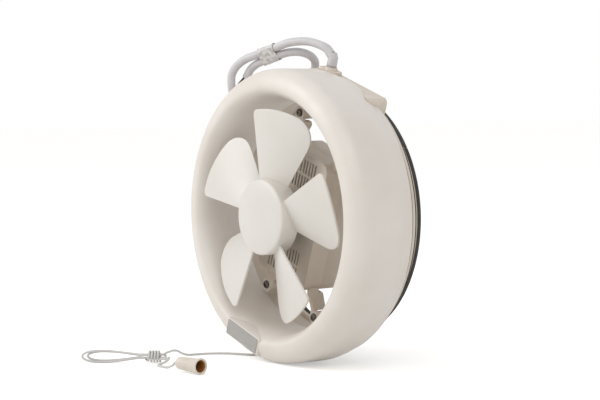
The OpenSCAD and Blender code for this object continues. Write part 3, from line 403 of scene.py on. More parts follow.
def grained(name, light, dark, roughness, patch_mm, grain_mm, depth_mm, spread=0.06, **sockets):
    """A moulded, cast or plated surface: two close tones in patches, a fine grain and an uneven gloss."""
    material, tree, shader = new_finish(name, light, roughness, **sockets)
    where = add(tree, "TexCoord").outputs["Object"]
    gloss = add(tree, "MapRange", {"Value": patchy(tree, where, patch_mm / 5),
                                             "To Min": roughness - spread, "To Max": roughness + spread})
    tree.links.new(gloss.outputs["Result"], shader.inputs["Roughness"])
    dress(tree, shader, two_tones(tree, patchy(tree, where, patch_mm), light, dark),
          relief(tree, patchy(tree, where, grain_mm, 0.3, 0.7, 2), depth_mm))
    return material


print("finish helpers are ready")

# %% [markdown]
# ## Moulded plastics
# The drum and motor housing are injection-moulded ABS, pigmented ivory: an opaque, slightly soft-looking plastic
# with a fine spark-eroded grain and a sheen that is neither matt nor glossy. ABS has an IOR near 1.54. It yellows
# a little and unevenly, so two tones drift into each other over some centimetres. The blades are moulded from a
# smoother, cooler styrene resin in a polished tool. The motor housing, the rear ring, the boxes, the gland and the
# switch are the same ABS, but their finishes are darker and warmer: painted shade, for the shade inside the drum.

# %% Moulded finishes
abs_ivory = grained("abs_ivory_moulded", "E4DED7", "DED6CD", 0.42, 70, 0.45, 0.006, IOR=1.54)
# Painted shade: these two finishes are the drum's ABS made darker and warmer, for the shade inside the drum.
abs_rear_painted_shade = grained("abs_ivory_rear_ring_painted_shade", "D9CFC2", "D2C6B7", 0.46, 55, 0.45, 0.008, IOR=1.54)
abs_housing_painted_shade = grained("abs_ivory_motor_housing_painted_shade", "D8CEC1", "D0C4B5", 0.45, 45, 0.45, 0.008, IOR=1.54)
styrene_blades = grained("styrene_blades_polished", "DEDAD4", "D9D4CC", 0.36, 60, 0.45, 0.002, 0.02, IOR=1.57)
bell_plastic = grained("moulded_bell_ivory", "DDD5CA", "D3C8BA", 0.40, 12, 0.5, 0.006, IOR=1.5)
bell_amber = grained("bell_inside_amber", "B4793B", "8C5524", 0.50, 5, 0.6, 0.02, IOR=1.5)
phenolic_black = grained("capacitor_case_black", "2A2927", "201F1E", 0.50, 12, 0.4, 0.01, IOR=1.5)
nylon_white = grained("terminal_nylon_white", "E6E4DE", "DAD7CF", 0.48, 12, 0.5, 0.01, IOR=1.53)
acetal_red = grained("cam_acetal_red", "A5392B", "8E2C20", 0.40, 8, 0.5, 0.006, IOR=1.48)
print("moulded finishes:", len(bpy.data.materials))

# %% [markdown]
# ## Rubber and cords
# The packing is moulded EPDM rubber: near black, dull, with a sulphur bloom that greys it in patches. The flex
# has a PVC sheath, softly glossy, with faint flow lines along it from the extruder. The pull cord is braided
# polyester, whose relief is in the mesh, so its finish only adds the fibres along each strand, the shade between
# strands and a little sheen.

# %% Rubber
rubber, tree, shader = new_finish("epdm_rubber_moulded", "1D1814", 0.62, IOR=1.52)
where = add(tree, "TexCoord").outputs["Object"]
dress(tree, shader, two_tones(tree, patchy(tree, where, 9, 0.45, 0.75), "1A1512", "37312B"),
      relief(tree, patchy(tree, where, 0.6), 0.03))

# %% PVC sheath and core insulation
def extruded(name, light, dark, roughness):
    """Extruded plastic: flow lines along the cord, from noise stretched on its UV map."""
    material, tree, shader = new_finish(name, light, roughness, IOR=1.53)
    route = add(tree, "UVMap", uv_map="route").outputs["UV"]
    lines = add(tree, "Mapping", {"Vector": route, "Scale": (16, 0.03, 1)}).outputs["Vector"]
    flow = add(tree, "TexNoise", {"Vector": lines, "Scale": 1.0, "Detail": 3}).outputs["Fac"]
    cloud = patchy(tree, add(tree, "TexCoord").outputs["Object"], 14)
    dress(tree, shader, two_tones(tree, cloud, light, dark), relief(tree, flow, 0.05))
    return material


pvc_sheath = extruded("pvc_sheath_pale_grey", "D0CDCF", "C6C3C5", 0.38)
core_finishes = {"core_earth": extruded("pvc_core_green", "1F6B45", "185539", 0.4),
                 "core_live": extruded("pvc_core_black", "26262A", "1B1B1F", 0.4),
                 "core_neutral": extruded("pvc_core_pale", "D9D6CC", "C9C5BA", 0.4)}

# %% Braided polyester
braided, tree, shader = new_finish("braided_polyester_grey_white", "D6D4D1", 0.80, IOR=1.5, Sheen_Weight=0.35,
                                   Sheen_Roughness=0.5)
route = add(tree, "UVMap", uv_map="route").outputs["UV"]
parts = add(tree, "SeparateXYZ", {"Vector": route}).outputs
crossing = []
for sign in (1, -1):
    waves = math.tau * BRAID_STRANDS
    around = add(tree, "Math", {0: parts["X"], 1: waves}, operation="MULTIPLY").outputs[0]
    slant = add(tree, "Math", {0: parts["Y"], 1: sign * waves / BRAID_PITCH, 2: around},
                operation="MULTIPLY_ADD")
    crossing.append(add(tree, "Math", {0: slant.outputs[0]}, operation="COSINE").outputs[0])
top = add(tree, "Math", {0: crossing[0], 1: crossing[1]}, operation="MAXIMUM").outputs[0]
shade = add(tree, "MapRange", {"Value": top, "From Min": -0.4, "From Max": 0.6}).outputs["Result"]
fibres = add(tree, "Mapping", {"Vector": route, "Scale": (40, 3, 1), "Rotation": (0, 0, 0.5)})
fibre = add(tree, "TexNoise", {"Vector": fibres.outputs["Vector"], "Scale": 1.0, "Detail": 2})
dress(tree, shader, two_tones(tree, shade, "A9A6A2", "E0DEDC"), relief(tree, fibre.outputs["Fac"], 0.05))
print("cord finishes are ready")

# %% [markdown]
# ## Metals
# Small steel parts are zinc plated, which gives a fine crystalline grey. The leg screws are blackened. The motor's
# stacks are 0.5 mm sheets, so fine lines cross them; the windings are enamelled wire, whose turns show as a
# ribbed surface. Bearings are sintered bronze, with open pores. A metal keeps the default IOR, because its colour
# already says how it reflects.

# %% Metal finishes
zinc = grained("steel_zinc_plated", "B9BBBD", "A5A8AC", 0.34, 3, 0.3, 0.004, Metallic=1.0)
black_steel = grained("steel_blackened_screw", "77716A", "5A554F", 0.34, 2, 0.3, 0.006, Metallic=0.9)
ground_steel = grained("steel_ground_shaft", "C4C6C8", "B2B5B8", 0.24, 4, 0.2, 0.003, Metallic=1.0)
bronze = grained("bronze_sintered", "A27E4B", "7F6038", 0.48, 2, 0.35, 0.03, Metallic=1.0)
brass = grained("brass_stamped", "CDAE68", "B9974F", 0.30, 6, 0.3, 0.004, Metallic=1.0)
cast_aluminium = grained("aluminium_die_cast", "B6B8BB", "A2A4A8", 0.44, 5, 0.5, 0.02, Metallic=1.0)


def ribbed(name, light, dark, roughness, pitch_mm, depth_mm, axis, metallic):
    """Metal with lines or turns at an even pitch across one of the frame's axes."""
    material, tree, shader = new_finish(name, light, roughness, Metallic=metallic)
    where = add(tree, "TexCoord").outputs["Object"]
    wave = add(tree, "TexWave", {"Vector": where, "Scale": grains(pitch_mm) / 20, "Distortion": 0.3,
                                           "Detail": 1}, wave_type="BANDS", bands_direction=axis)
    dress(tree, shader, two_tones(tree, wave.outputs["Fac"], dark, light),
          relief(tree, wave.outputs["Fac"], depth_mm))
    return material


stacked_sheet = ribbed("steel_laminations_stacked", "8D8F92", "55575A", 0.42, 0.5, 0.05, "Y", 1.0)
wound_copper = ribbed("copper_wire_enamelled", "A65A2A", "6B3315", 0.32, 0.7, 0.12, "DIAGONAL", 0.6)

# %% [markdown]
# ## Label foil and cable film
# The label is thin aluminium, brushed along its length, with its printed face left bare. The wrap that binds the
# cable is a clear-white film that has wrinkled as it shrank.

# %% Foil and film
label_foil, tree, shader = new_finish("aluminium_label_brushed", "A8A6A3", 0.46, Metallic=0.35)
where = add(tree, "TexCoord").outputs["Object"]
brushing = add(tree, "Mapping",
               {"Vector": where, "Rotation": (0, TURN, 0), "Scale": (90, 2500, 4200)})
streaks = add(tree, "TexNoise", {"Vector": brushing.outputs["Vector"], "Scale": 1.0, "Detail": 3})
dress(tree, shader, two_tones(tree, streaks.outputs["Fac"], "B3B1AE", "94918D"),
      relief(tree, streaks.outputs["Fac"], 0.01))

film, tree, shader = new_finish("film_wrap_wrinkled", "D8D6D4", 0.28, IOR=1.49, Coat_Weight=0.3)
where = add(tree, "TexCoord").outputs["Object"]
creases = add(tree, "TexNoise", {"Vector": where, "Scale": grains(5), "Detail": 5, "Distortion": 1.6})
dress(tree, shader, two_tones(tree, patchy(tree, where, 4, 0.4, 0.62), "DEDCDA", "B9B6B2"),
      relief(tree, creases.outputs["Fac"], 0.7))
print("finishes in all:", len(bpy.data.materials))

# %% [markdown]
# ## Finishing the frame's own parts
# Parts hidden in the motor or the switch keep the shape that the CAD gave them, and only take a finish.

# %% Finishes on CAD parts
CAD_FINISHES = {
    abs_ivory: ["front_casing"],
    abs_housing_painted_shade: ["motor_bracket", "motor_cup"],
    abs_rear_painted_shade: ["rear_ring", "terminal_box", "box_cover", "cable_gland", "switch_housing"],
    styrene_blades: ["impeller", "switch_lever"],
    bell_plastic: ["pull_bell"],
    bell_amber: ["bell_stop"],
    label_foil: ["label_plate"],
    rubber: ["pane_packing", "rim_packing"],
    black_steel: ["leg_screws"],
    zinc: ["cup_screws", "box_screws", "drive_pin", "hub_clip", "lever_spring", "bearing_brackets"],
    ground_steel: ["motor_shaft"],
    stacked_sheet: ["stator_core", "rotor_core"],
    wound_copper: ["stator_windings"],
    bronze: ["front_bearing", "rear_bearing", "thrust_collars"],
    brass: ["switch_contacts", "cord_eyelet"],
    cast_aluminium: ["rotor_rings"],
    phenolic_black: ["run_capacitor"],
    nylon_white: ["terminal_block"],
    acetal_red: ["switch_cam"],
    pvc_sheath: ["mains_cable", "cable_cores"],
    film: ["cable_tag"],
    braided: ["pull_cord_run", "pull_cord_hank", "pull_cord_tail"]}


def give_finish(piece, material):
    piece.data.materials.clear()
    piece.data.materials.append(material)


for material, names in CAD_FINISHES.items():
    for name in names:
        give_finish(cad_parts[name], material)
print("CAD parts finished:", sum(len(n) for n in CAD_FINISHES.values()))

# %% [markdown]
# ## Putting a piece in place
# Each new piece takes the finish of a CAD part, or a finish of its own, and rides on a body. The CAD parts that
# it stands for are hidden. One function does all of this, so that none is forgotten.


def place(piece, node, *replaced, body="frame_body", material=None):
    """The node's finish or the given one, a body to ride on, and the nodes that the piece stands for hidden."""
    give_finish(piece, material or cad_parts[node].data.materials[0])
    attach(piece, body)
    if replaced:
        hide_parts(*replaced)


# %% [markdown]
# ## The cords in place
# Each cord takes a finish and rides on the frame's body, and the CAD cords that it stands for are hidden.

# %% Cords in place
place(pull_cord, "pull_cord_run", "pull_cord_run", "pull_cord_hank", "pull_cord_tail")
place(mains_sheath, "mains_cable", "mains_cable")
for core, tip in zip(cores, core_tips):
    place(core, "cable_cores", material=core_finishes[core.name])
    place(tip, "stator_windings")
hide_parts("cable_cores")
print("cords placed")

# %% [markdown]
# ## Turned shapes
# Most of the fan is round, so a lathe serves it. A plane is merged to a point, the point is extruded along the
# section, and the section is spun once round the axis. The seam's double points are then merged and the faces
# are turned outwards. One step at the end settles the piece into the frame, with its place in its mesh.

# %% Lathe
STAND = Matrix.Scale(MM, 4) @ FAN


def pick(piece=None):
    """Object mode, with this piece alone selected and active, or with none selected."""
    if bpy.context.mode != "OBJECT":
        bpy.ops.object.mode_set(mode="OBJECT")
    bpy.ops.object.select_all(action="DESELECT")
    if piece:
        piece.select_set(True)
        bpy.context.view_layer.objects.active = piece


def start(name, kind, **settings):
    """A primitive, selected all over, in edit mode."""
    pick()
    getattr(bpy.ops.mesh, f"primitive_{kind}_add")(**settings)
    piece = bpy.context.object
    piece.name = piece.data.name = name
    bpy.ops.object.mode_set(mode="EDIT")
    bpy.ops.mesh.select_mode(type="VERT")
    bpy.ops.mesh.select_all(action="SELECT")
    return piece


def extrude(by):
    bpy.ops.mesh.extrude_region_move(TRANSFORM_OT_translate={"value": Vector(by)})


def drawn(name, points):
    """A line extruded through the points from a merged plane, in edit mode and selected."""
    piece = start(name, "plane", size=1)
    bpy.ops.mesh.merge(type="CENTER")
    points = [Vector(p) for p in points]
    bpy.ops.transform.translate(value=points[0])
    for a, b in zip(points, points[1:]):
        extrude(b - a)
    bpy.ops.mesh.select_all(action="SELECT")
    return piece


def mend_mesh():
    """Double points merged and faces turned outwards, on the whole mesh."""
    bpy.ops.mesh.select_all(action="SELECT")
    bpy.ops.mesh.remove_doubles(threshold=0.002)
    bpy.ops.mesh.normals_make_consistent(inside=False)


def settle(piece, matrix=STAND, smooth=30):
    """Out of edit mode, into the frame, place in the mesh, smooth between its sharp edges."""
    pick(piece)
    piece.matrix_world = matrix
    bpy.ops.object.transform_apply(location=True, rotation=True, scale=True)
    bpy.ops.object.shade_smooth_by_angle(angle=math.radians(smooth))
    return piece


def turned(name, section, steps=96, closed=True):
    """A section of (radius, height) points spun round the vertical axis; it is left in edit mode."""
    section = section + [section[0]] if closed else section
    piece = drawn(name, [(r, 0, h) for r, h in section])
    bpy.ops.mesh.spin(steps=steps, angle=math.tau, center=(0, 0, 0), axis=(0, 0, 1))
    mend_mesh()
    return piece


def apply_modifier(piece, kind, **settings):
    """One modifier, added with its settings and applied."""
    bpy.ops.object.mode_set(mode="OBJECT")
    bpy.context.view_layer.objects.active = piece
    modifier = piece.modifiers.new(kind.lower(), kind)
    for key, value in settings.items():
        setattr(modifier, key, value)
    bpy.ops.object.modifier_apply(modifier=modifier.name)


def rounded_edges(piece, width, segments=3, angle=32):
    """A small radius on every sharp edge, as a moulding tool leaves."""
    apply_modifier(piece, "BEVEL", width=width, segments=segments, limit_method="ANGLE",
                   angle_limit=math.radians(angle), use_clamp_overlap=True, miter_outer="MITER_ARC")


def arc(centre, radii, start_deg, end_deg, count):
    """Points of a quarter circle or ellipse, for a section."""
    steps = [math.radians(start_deg + (end_deg - start_deg) * i / count) for i in range(count + 1)]
    return [(centre[0] + radii[0] * math.cos(a), centre[1] + radii[1] * math.sin(a)) for a in steps]


print("the lathe is ready")

# %% [markdown]
# ## Drum
# The front casing is one moulded shell: a drum that rounds in at its rear, a rolled lip, and a bell mouth that
# leads the air to the throat. Its wall is 2.6 mm all over, so the inner skin repeats the outer one that much
# further in. A lathe gives even faces that shade cleanly, where a mesh from solids has slivers.

# %% Drum's section
REAR_R, THROAT_R, CREST_R, CREST_W, WALL = 136, 109.5, 123, 81, 2.6
ROLL_R, BELL_DEPTH, REAR_W, FILLET = 17, 35, 8, 10
REAR_HOLE_R, THROAT_W, THROAT_WALL = 121, 28, 2.4
TAPER_FROM, TAPER_LENGTH, TAPER_STEPS = 18, 16, 8


def drum_skin(inset):
    """The section from the rear rim over the lip to the throat, moved in from the surface by inset."""
    side = []
    for i in range(1, TAPER_STEPS + 1):
        along = i / TAPER_STEPS
        side.append((DRUM_R - inset - (DRUM_R - REAR_R) * (1 - along) ** 2, TAPER_FROM + TAPER_LENGTH * along))
    bell = (CREST_R - THROAT_R - inset, BELL_DEPTH - inset)
    return (arc((REAR_R - FILLET, REAR_W + FILLET), (FILLET - inset, FILLET - inset), -90, 0, 10) + side
            + arc((CREST_R, CREST_W - ROLL_R), (ROLL_R - inset, ROLL_R - inset), 0, 90, 20)
            + arc((CREST_R, CREST_W - BELL_DEPTH), bell, 90, 180, 24)[1:])


drum_section = [(REAR_HOLE_R, REAR_W)] + drum_skin(0)
drum_section += [(THROAT_R, THROAT_W), (THROAT_R + THROAT_WALL, THROAT_W)]
drum_section += drum_skin(WALL)[::-1] + [(REAR_HOLE_R, REAR_W + WALL)]
drum = turned("drum_shell", drum_section, 160)
print("points in the drum's section:", len(drum_section))

# %% [markdown]
# The terminal box looks out through a notch in the drum's rear, and the pull cord leaves through a hole at its
# lowest point. Both are cut with a Boolean. The notch's cutters are boxes whose edges are bevelled first, so
# that the cuts have rounded corners.

# %% Notch and cord hole
def cutter(name, low, high, corner=0.0):
    """A box between two corners to cut with, its edges rounded if asked."""
    low, high = Vector(low), Vector(high)
    piece = start(name, "cube", size=1)
    bpy.ops.transform.resize(value=high - low)
    bpy.ops.transform.translate(value=(low + high) / 2)
    if corner:
        bpy.ops.mesh.bevel(offset=corner, segments=4, affect="EDGES")
    return piece


def cut_away(piece, *tools):
    """Each tool taken out of the piece, and then removed."""
    for tool in tools:
        apply_modifier(piece, "BOOLEAN", operation="DIFFERENCE", object=tool, solver="EXACT")
        bpy.data.objects.remove(tool)


CORD_HOLE_R = 3.35
notch = cutter("notch_tool", (-50.3, 100, -2), (50.3, 133.3, 26.3), 2)
gland_notch = cutter("gland_notch_tool", (-43.8, 130, -2), (-20.2, 146, 19.3), 2)
cord_hole = start("cord_hole_tool", "cylinder", vertices=32, radius=CORD_HOLE_R, depth=20)
bpy.ops.transform.rotate(value=math.pi / 2, orient_axis="X", center_override=(0, 0, 0))
bpy.ops.transform.translate(value=(0, -DRUM_R, EYELET_W))
cut_away(drum, notch, gland_notch, cord_hole)
rounded_edges(drum, 0.5, 2, 40)
settle(drum)
print("drum after its cuts:", face_count(drum))

# %% [markdown]
# ## Label pad
# At the bottom of the lip a flat pad stands level with the crest, with a ledge that slopes away into the bell
# mouth. It is a short bar, so its side view is drawn as a line, filled, and extruded across.

# %% Label pad
LABEL_U, LABEL_V, PAD_FRONT = 0, -123.2, 81.4
LABEL_HALF_U, LABEL_HALF_V, LABEL_T = 25.5, 7.2, 0.7


def bar(name, outline, across, length):
    """An outline of (v, w) points, filled and extruded along u; it is left in edit mode."""
    piece = drawn(name, [(across, v, w) for v, w in outline])
    bpy.ops.mesh.edge_face_add()
    extrude((length, 0, 0))
    mend_mesh()
    return piece


pad_top, pad_bottom = LABEL_V + LABEL_HALF_V + 1, LABEL_V - LABEL_HALF_V - 0.8
pad_width = 2 * (LABEL_HALF_U + 1.6)
pad = bar("label_pad", [(pad_top, PAD_FRONT), (pad_top + 2.4, 68), (pad_top + 1.5, 62), (-124, 64),
                        (pad_bottom - 2.2, 72), (pad_bottom - 1.2, 80), (pad_bottom, PAD_FRONT)],
          LABEL_U - pad_width / 2, pad_width)
rounded_edges(pad, 0.8, 3)
settle(pad)

# %% [markdown]
# ## Label plate
# The plate is 0.7 mm aluminium with rounded corners, its printed face left bare. The face is inset and pressed
# back to leave a slightly raised rim.

# %% Label plate
plate = start("label_plate_bare", "plane", size=1)
bpy.ops.transform.resize(value=(2 * LABEL_HALF_U, 2 * LABEL_HALF_V, 1))
bpy.ops.transform.translate(value=(LABEL_U, LABEL_V, PAD_FRONT))
bpy.ops.mesh.bevel(offset=1.2, segments=5, affect="VERTICES")
bpy.ops.mesh.select_all(action="SELECT")
extrude((0, 0, LABEL_T))
bpy.ops.mesh.inset(thickness=0.6)
bpy.ops.mesh.inset(thickness=0.2, depth=-0.2)
mend_mesh()
settle(plate)
print("label plate faces:", face_count(plate))

# %% [markdown]
# ## Impeller hub
# The hub is a shallow cup with a gently domed face and a small radius where the face meets the side. It is one
# turned section, wall and all, with the boss for the shaft inside.

# %% Hub
HUB_R, HUB_W0, HUB_W1, DOME, HUB_WALL = 36, 68, 88, 4, 2.2


def dome_w(r, drop):
    """Height of the domed face at a radius."""
    return HUB_W1 + DOME - drop - DOME * (r / (HUB_R - 2)) ** 2


hub_section = [(HUB_R - HUB_WALL, HUB_W0), (HUB_R, HUB_W0)]
hub_section += arc((HUB_R - 2.5, HUB_W1 - 2.5), (2.5, 2.5), 0, 70, 6)
hub_section += [(r, dome_w(r, 0)) for r in (31, 26, 21, 16, 11, 6, 3, 0)]
hub_section += [(0, HUB_W0 + 2), (8, HUB_W0 + 2), (8, dome_w(8, HUB_WALL))]
hub_section += [(r, dome_w(r, HUB_WALL)) for r in (14, 20, 26, 31)] + [(HUB_R - HUB_WALL, HUB_W1 - 4)]
hub = turned("impeller_hub", hub_section, 96)
rounded_edges(hub, 0.4, 2, 50)
settle(hub)
print("hub faces:", face_count(hub))

# %% [markdown]
# ## Blades
# A blade is a thin twisted sheet, broad at its tip and bowed forward in its middle. Its tip has two different
# corners, a tight one on the edge that leads and a wide one on the edge that trails. A grid is the right start,
# because its rows and columns become lines along and across the blade. Each point goes where the blade's formula
# puts it, Solidify gives the sheet its thickness, and Bevel rounds its rim. One blade is modelled, and the other
# four are copies with their own meshes.

# %% One blade
BLADES, SPAN, TIP_R, REST = 5, math.radians(45), 102, math.radians(45)
LEAD_ROUND, TRAIL_ROUND = 5, 24
ROOT_DEPTH, TIP_DEPTH, BLADE_MID, TIP_BACK = 13, 20, 75.8, 3.3
ROOT_R, BOW, BLADE_T = HUB_R - 1.2, 4, 2.1
TIP_ARC = TIP_R * SPAN


def blade_point(x, y):
    """Where a grid point from 0 to 1 each way belongs: x across the blade, y from root to tip."""
    across = 0.5 - 0.5 * math.cos(math.pi * x)
    drop = 0
    for from_edge, corner in ((across * TIP_ARC, TRAIL_ROUND), ((1 - across) * TIP_ARC, LEAD_ROUND)):
        drop = max(drop, corner - math.sqrt(corner ** 2 - max(0, corner - from_edge) ** 2))
    r = ROOT_R + (TIP_R - drop - ROOT_R) * y
    k = (r - HUB_R) / (TIP_R - HUB_R)
    bow = BOW * (1 - (2 * across - 1) ** 2) * (0.5 + 0.5 * k)
    w = BLADE_MID - TIP_BACK * k + (ROOT_DEPTH + (TIP_DEPTH - ROOT_DEPTH) * k) * (across - 0.5) + bow
    a = (across - 1) * SPAN
    return Vector((r * math.cos(a), r * math.sin(a), w))


blade = start("impeller_blade_1", "grid", x_subdivisions=40, y_subdivisions=20, size=1)
bpy.ops.object.mode_set(mode="OBJECT")
for vertex in blade.data.vertices:
    vertex.co = blade_point(vertex.co.x + 0.5, vertex.co.y + 0.5)
apply_modifier(blade, "SOLIDIFY", thickness=BLADE_T, offset=0, use_even_offset=True)
rounded_edges(blade, 0.75, 3, 55)
bpy.ops.object.mode_set(mode="EDIT")
mend_mesh()
bpy.ops.object.mode_set(mode="OBJECT")
blades = [blade] + [linked(f"impeller_blade_{i + 1}", blade.data.copy()) for i in range(1, BLADES)]
for i, piece in enumerate(blades):
    settle(piece, STAND @ Matrix.Rotation(REST + math.tau * i / BLADES, 4, "Z"), 40)
print("blade faces:", face_count(blade))

# %% [markdown]
# ## Moulded parts with their edges eased
# The motor's rear cup, the rear ring and the boxes have many small features, and the CAD has all of them right.
# What it lacks is the small radius that a tool leaves on every edge, which catches the light. So each is copied,
# its triangles are merged back into flat faces, and its sharp edges are bevelled. The motor's front half, with
# its slots and legs, stays as the CAD has it.

# %% Eased copies
EASED = {"motor_cup": 0.5, "rear_ring": 0.35, "terminal_box": 0.4, "box_cover": 0.5, "cable_gland": 0.6,
         "switch_housing": 0.3}


def eased(node, width):
    """A copy of a CAD part, merged, its flat faces made whole again, its edges rounded."""
    piece = linked(f"{node}_eased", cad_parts[node].data.copy())
    pick(piece)
    bpy.ops.object.mode_set(mode="EDIT")
    bpy.ops.mesh.select_all(action="SELECT")
    bpy.ops.mesh.remove_doubles(threshold=0.000004)
    bpy.ops.mesh.dissolve_limited(angle_limit=math.radians(0.4), delimit={"NORMAL"})
    rounded_edges(piece, width * MM, 2, 35)
    bpy.ops.object.shade_smooth_by_angle(angle=math.radians(30))
    return piece


eased_parts = {node: eased(node, width) for node, width in EASED.items()}
print("eased parts' faces:", [face_count(piece) for piece in eased_parts.values()])

# %% [markdown]
# ## Rubber packing
# Two moulded rings of rubber sit one each side of the rear ring's flange, and a slotted strip grips the rim of
# the spigot. Rubber has no sharp edges, and the rings swell a little between their corners. The strip was cut
# to length, so its two ends meet at a slit.

# %% Packing rings
PACKING_R = 118.1
RIM_R0, RIM_R1, RIM_BACK, RIM_FRONT = 113.9, 118.5, -11.5, -7.5
SLOT_R, SLOT_W = 115.5, -9


def rubber_ring(name, r0, r1, w0, w1, swell):
    """A flat ring of rubber whose outer edge bulges a little."""
    middle = (w0 + w1) / 2
    ring = turned(name, [(r0, w0), (r1 - swell, w0), (r1, middle), (r1 - swell, w1), (r0, w1)], 144)
    rounded_edges(ring, min(0.4, (w1 - w0) / 4), 3, 30)
    return settle(ring)


pane_ring = rubber_ring("pane_packing_ring", PACKING_R, 126, 0, 1.3, 0.2)
drum_ring = rubber_ring("drum_packing_ring", PACKING_R, 125.4, 4.3, 8, 0.5)

# %% Strip on the spigot's rim
rim_section = [(RIM_R0, RIM_BACK), (RIM_R1, RIM_BACK), (RIM_R1, RIM_FRONT), (PACKING_R, RIM_FRONT),
               (PACKING_R, SLOT_W), (SLOT_R, SLOT_W), (SLOT_R, RIM_FRONT), (RIM_R0, RIM_FRONT)]
rim_strip = turned("rim_packing_strip", rim_section, 144)
slit = cutter("slit_tool", (100, -0.3, -14), (130, 0.3, -6))
slit.matrix_world = Matrix.Rotation(math.radians(52), 4, "Z")
cut_away(rim_strip, slit)
rounded_edges(rim_strip, 0.35, 2, 35)
settle(rim_strip)
print("rubber faces:", face_count(pane_ring, drum_ring, rim_strip))

# %% [markdown]
# ## Screws
# The leg screws are pan heads with a cross recess. The head is turned, and the recess is cut with two thin
# bars. The screw is modelled once at the origin and copied to its four places.

# %% Pan-head screw
LEG_SCREW_U, LEG_SCREW_V, EAR_FRONT = 41, 89.5, 32


def pan_screw(name, shank_r, length, head_r, head_h):
    """A pan-head screw with its seat at height 0, in object mode."""
    head = [(head_r * r, head_h * h) for r, h in ((0, 1), (0.3, 0.985), (0.6, 0.9), (0.82, 0.74), (0.95, 0.5),
                                                  (1, 0.22), (0.98, 0))]
    thread, pitch = [], 0.9
    for i in range(int((length - 2) / pitch)):
        top = -1.0 - i * pitch
        thread += [(shank_r * 0.8, top), (shank_r, top - pitch * 0.5)]
    point = [(shank_r * 0.7, -length + 0.6), (0, -length)]
    screw = turned(name, head + [(shank_r * 0.8, 0)] + thread + point, 32, closed=False)
    long, thin = head_r * 1.15 / 2, head_r * 0.24 / 2
    cut_away(screw, *[cutter(f"{name}_recess_{i}", (-x, -y, head_h * 0.35), (x, y, head_h + 1))
                      for i, (x, y) in enumerate(((long, thin), (thin, long)))])
    return screw


corners = [(u * LEG_SCREW_U, v * LEG_SCREW_V, EAR_FRONT) for u in (-1, 1) for v in (-1, 1)]
screw = pan_screw("leg_screw", shank_r=2, length=20, head_r=4, head_h=2.6)
leg_screws = [screw] + [linked(f"leg_screw_{i}", screw.data.copy()) for i in (2, 3, 4)]
for piece, corner in zip(leg_screws, corners):
    settle(piece, STAND @ Matrix.Translation(corner))
print("screws:", len(leg_screws), "faces each:", face_count(screw))

# %% [markdown]
# ## Pull bell
# The bell on the cord's end is a hollow moulded cone with a rounded neck and a rolled rim. A thin amber shell
# just inside its wall makes its mouth orange-brown. It lies on its side, so its lathe axis is turned level and
# along the floor.

# %% Bell
towards_mouth = Matrix.Rotation(math.atan2(BELL_DIR.y, BELL_DIR.x), 4, "Z") @ Matrix.Rotation(math.pi / 2, 4, "Y")
BELL_PLACE = Matrix.Scale(MM, 4) @ Matrix.Translation(bell_tail) @ towards_mouth
mouth_r = BELL_D / 2
bell_outside = [(1.35, 0.2), (2.2, 0)] + arc((2.3, 3.4), (3.6, 3.4), -65, 0, 8)
bell_outside += [(6.1, 9), (6.35, 16), (6.7, 23), (7.05, 28), (7.25, 30.6), (mouth_r - 0.15, 31.5),
                 (mouth_r, 32.1), (mouth_r - 0.15, 32.8), (mouth_r - 0.6, BELL_LENGTH)]
bell_inside = [(mouth_r - 1.5, BELL_LENGTH - 0.1), (mouth_r - 1.9, 32.3), (5.4, 26), (5.0, 16), (4.6, 8),
               (3.6, 4.2), (1.35, 3.4)]
bell = turned("pull_bell_shell", bell_outside + bell_inside, 64)
settle(bell, BELL_PLACE, 50)

# %% Amber inside and stopper
# A thin amber shell just inside the bell's wall colours its mouth orange-brown.
amber_inside = turned("pull_bell_amber_inside", [(4.55, 8.3), (4.95, 16), (5.35, 26), (mouth_r - 2.0, 32.0),
                                     (mouth_r - 2.25, 31.9), (5.05, 26), (4.65, 16), (4.2, 8.6)], 64)
settle(amber_inside, BELL_PLACE, 50)
stopper = turned("pull_bell_stopper", [(1.35, 4.7), (3.1, 4.8), (3.75, 5.6), (4.0, 8), (3.5, 9.4), (2.0, 9.9),
                                       (0, 10), (0, 8.4), (1.35, 8.0)], 48)
settle(stopper, BELL_PLACE, 50)
print("bell faces:", face_count(bell, amber_inside, stopper))

# %% [markdown]
# ## Film wrap
# Two strands of the cable are bound with clear-white film, pulled tight and shrunk into fine wrinkles. A
# cylinder is cut into rings and pressed to the oval that two cords side by side make, and each point moves by
# a noise that runs mostly round the bundle. Any print on it is left off.

# %% Film wrap
WRAP_HALF, WRAP_RINGS, FILM_T = 9.5, 24, 0.3
across_bundle = BUNDLE_STEP.normalized()
wrap_turn = Matrix((across_bundle, BUNDLE_DIR.cross(across_bundle), BUNDLE_DIR)).transposed().to_4x4()
wrap_place = Matrix.Scale(MM, 4) @ Matrix.Translation(BUNDLE_MID + BUNDLE_STEP / 2) @ wrap_turn
spread, wrap_r = BUNDLE_STEP.length / 2, CABLE_D / 2 + 0.5
wrap = start("film_wrap", "cylinder", vertices=96, radius=1, depth=2 * WRAP_HALF, end_fill_type="NOTHING")
bpy.ops.mesh.subdivide(number_cuts=1)
for i in range(1, WRAP_RINGS):
    bpy.ops.mesh.select_all(action="SELECT")
    bpy.ops.mesh.bisect(plane_co=(0, 0, -WRAP_HALF + i * WRAP_HALF * 2 / WRAP_RINGS), plane_no=(0, 0, 1))
bpy.ops.object.mode_set(mode="OBJECT")
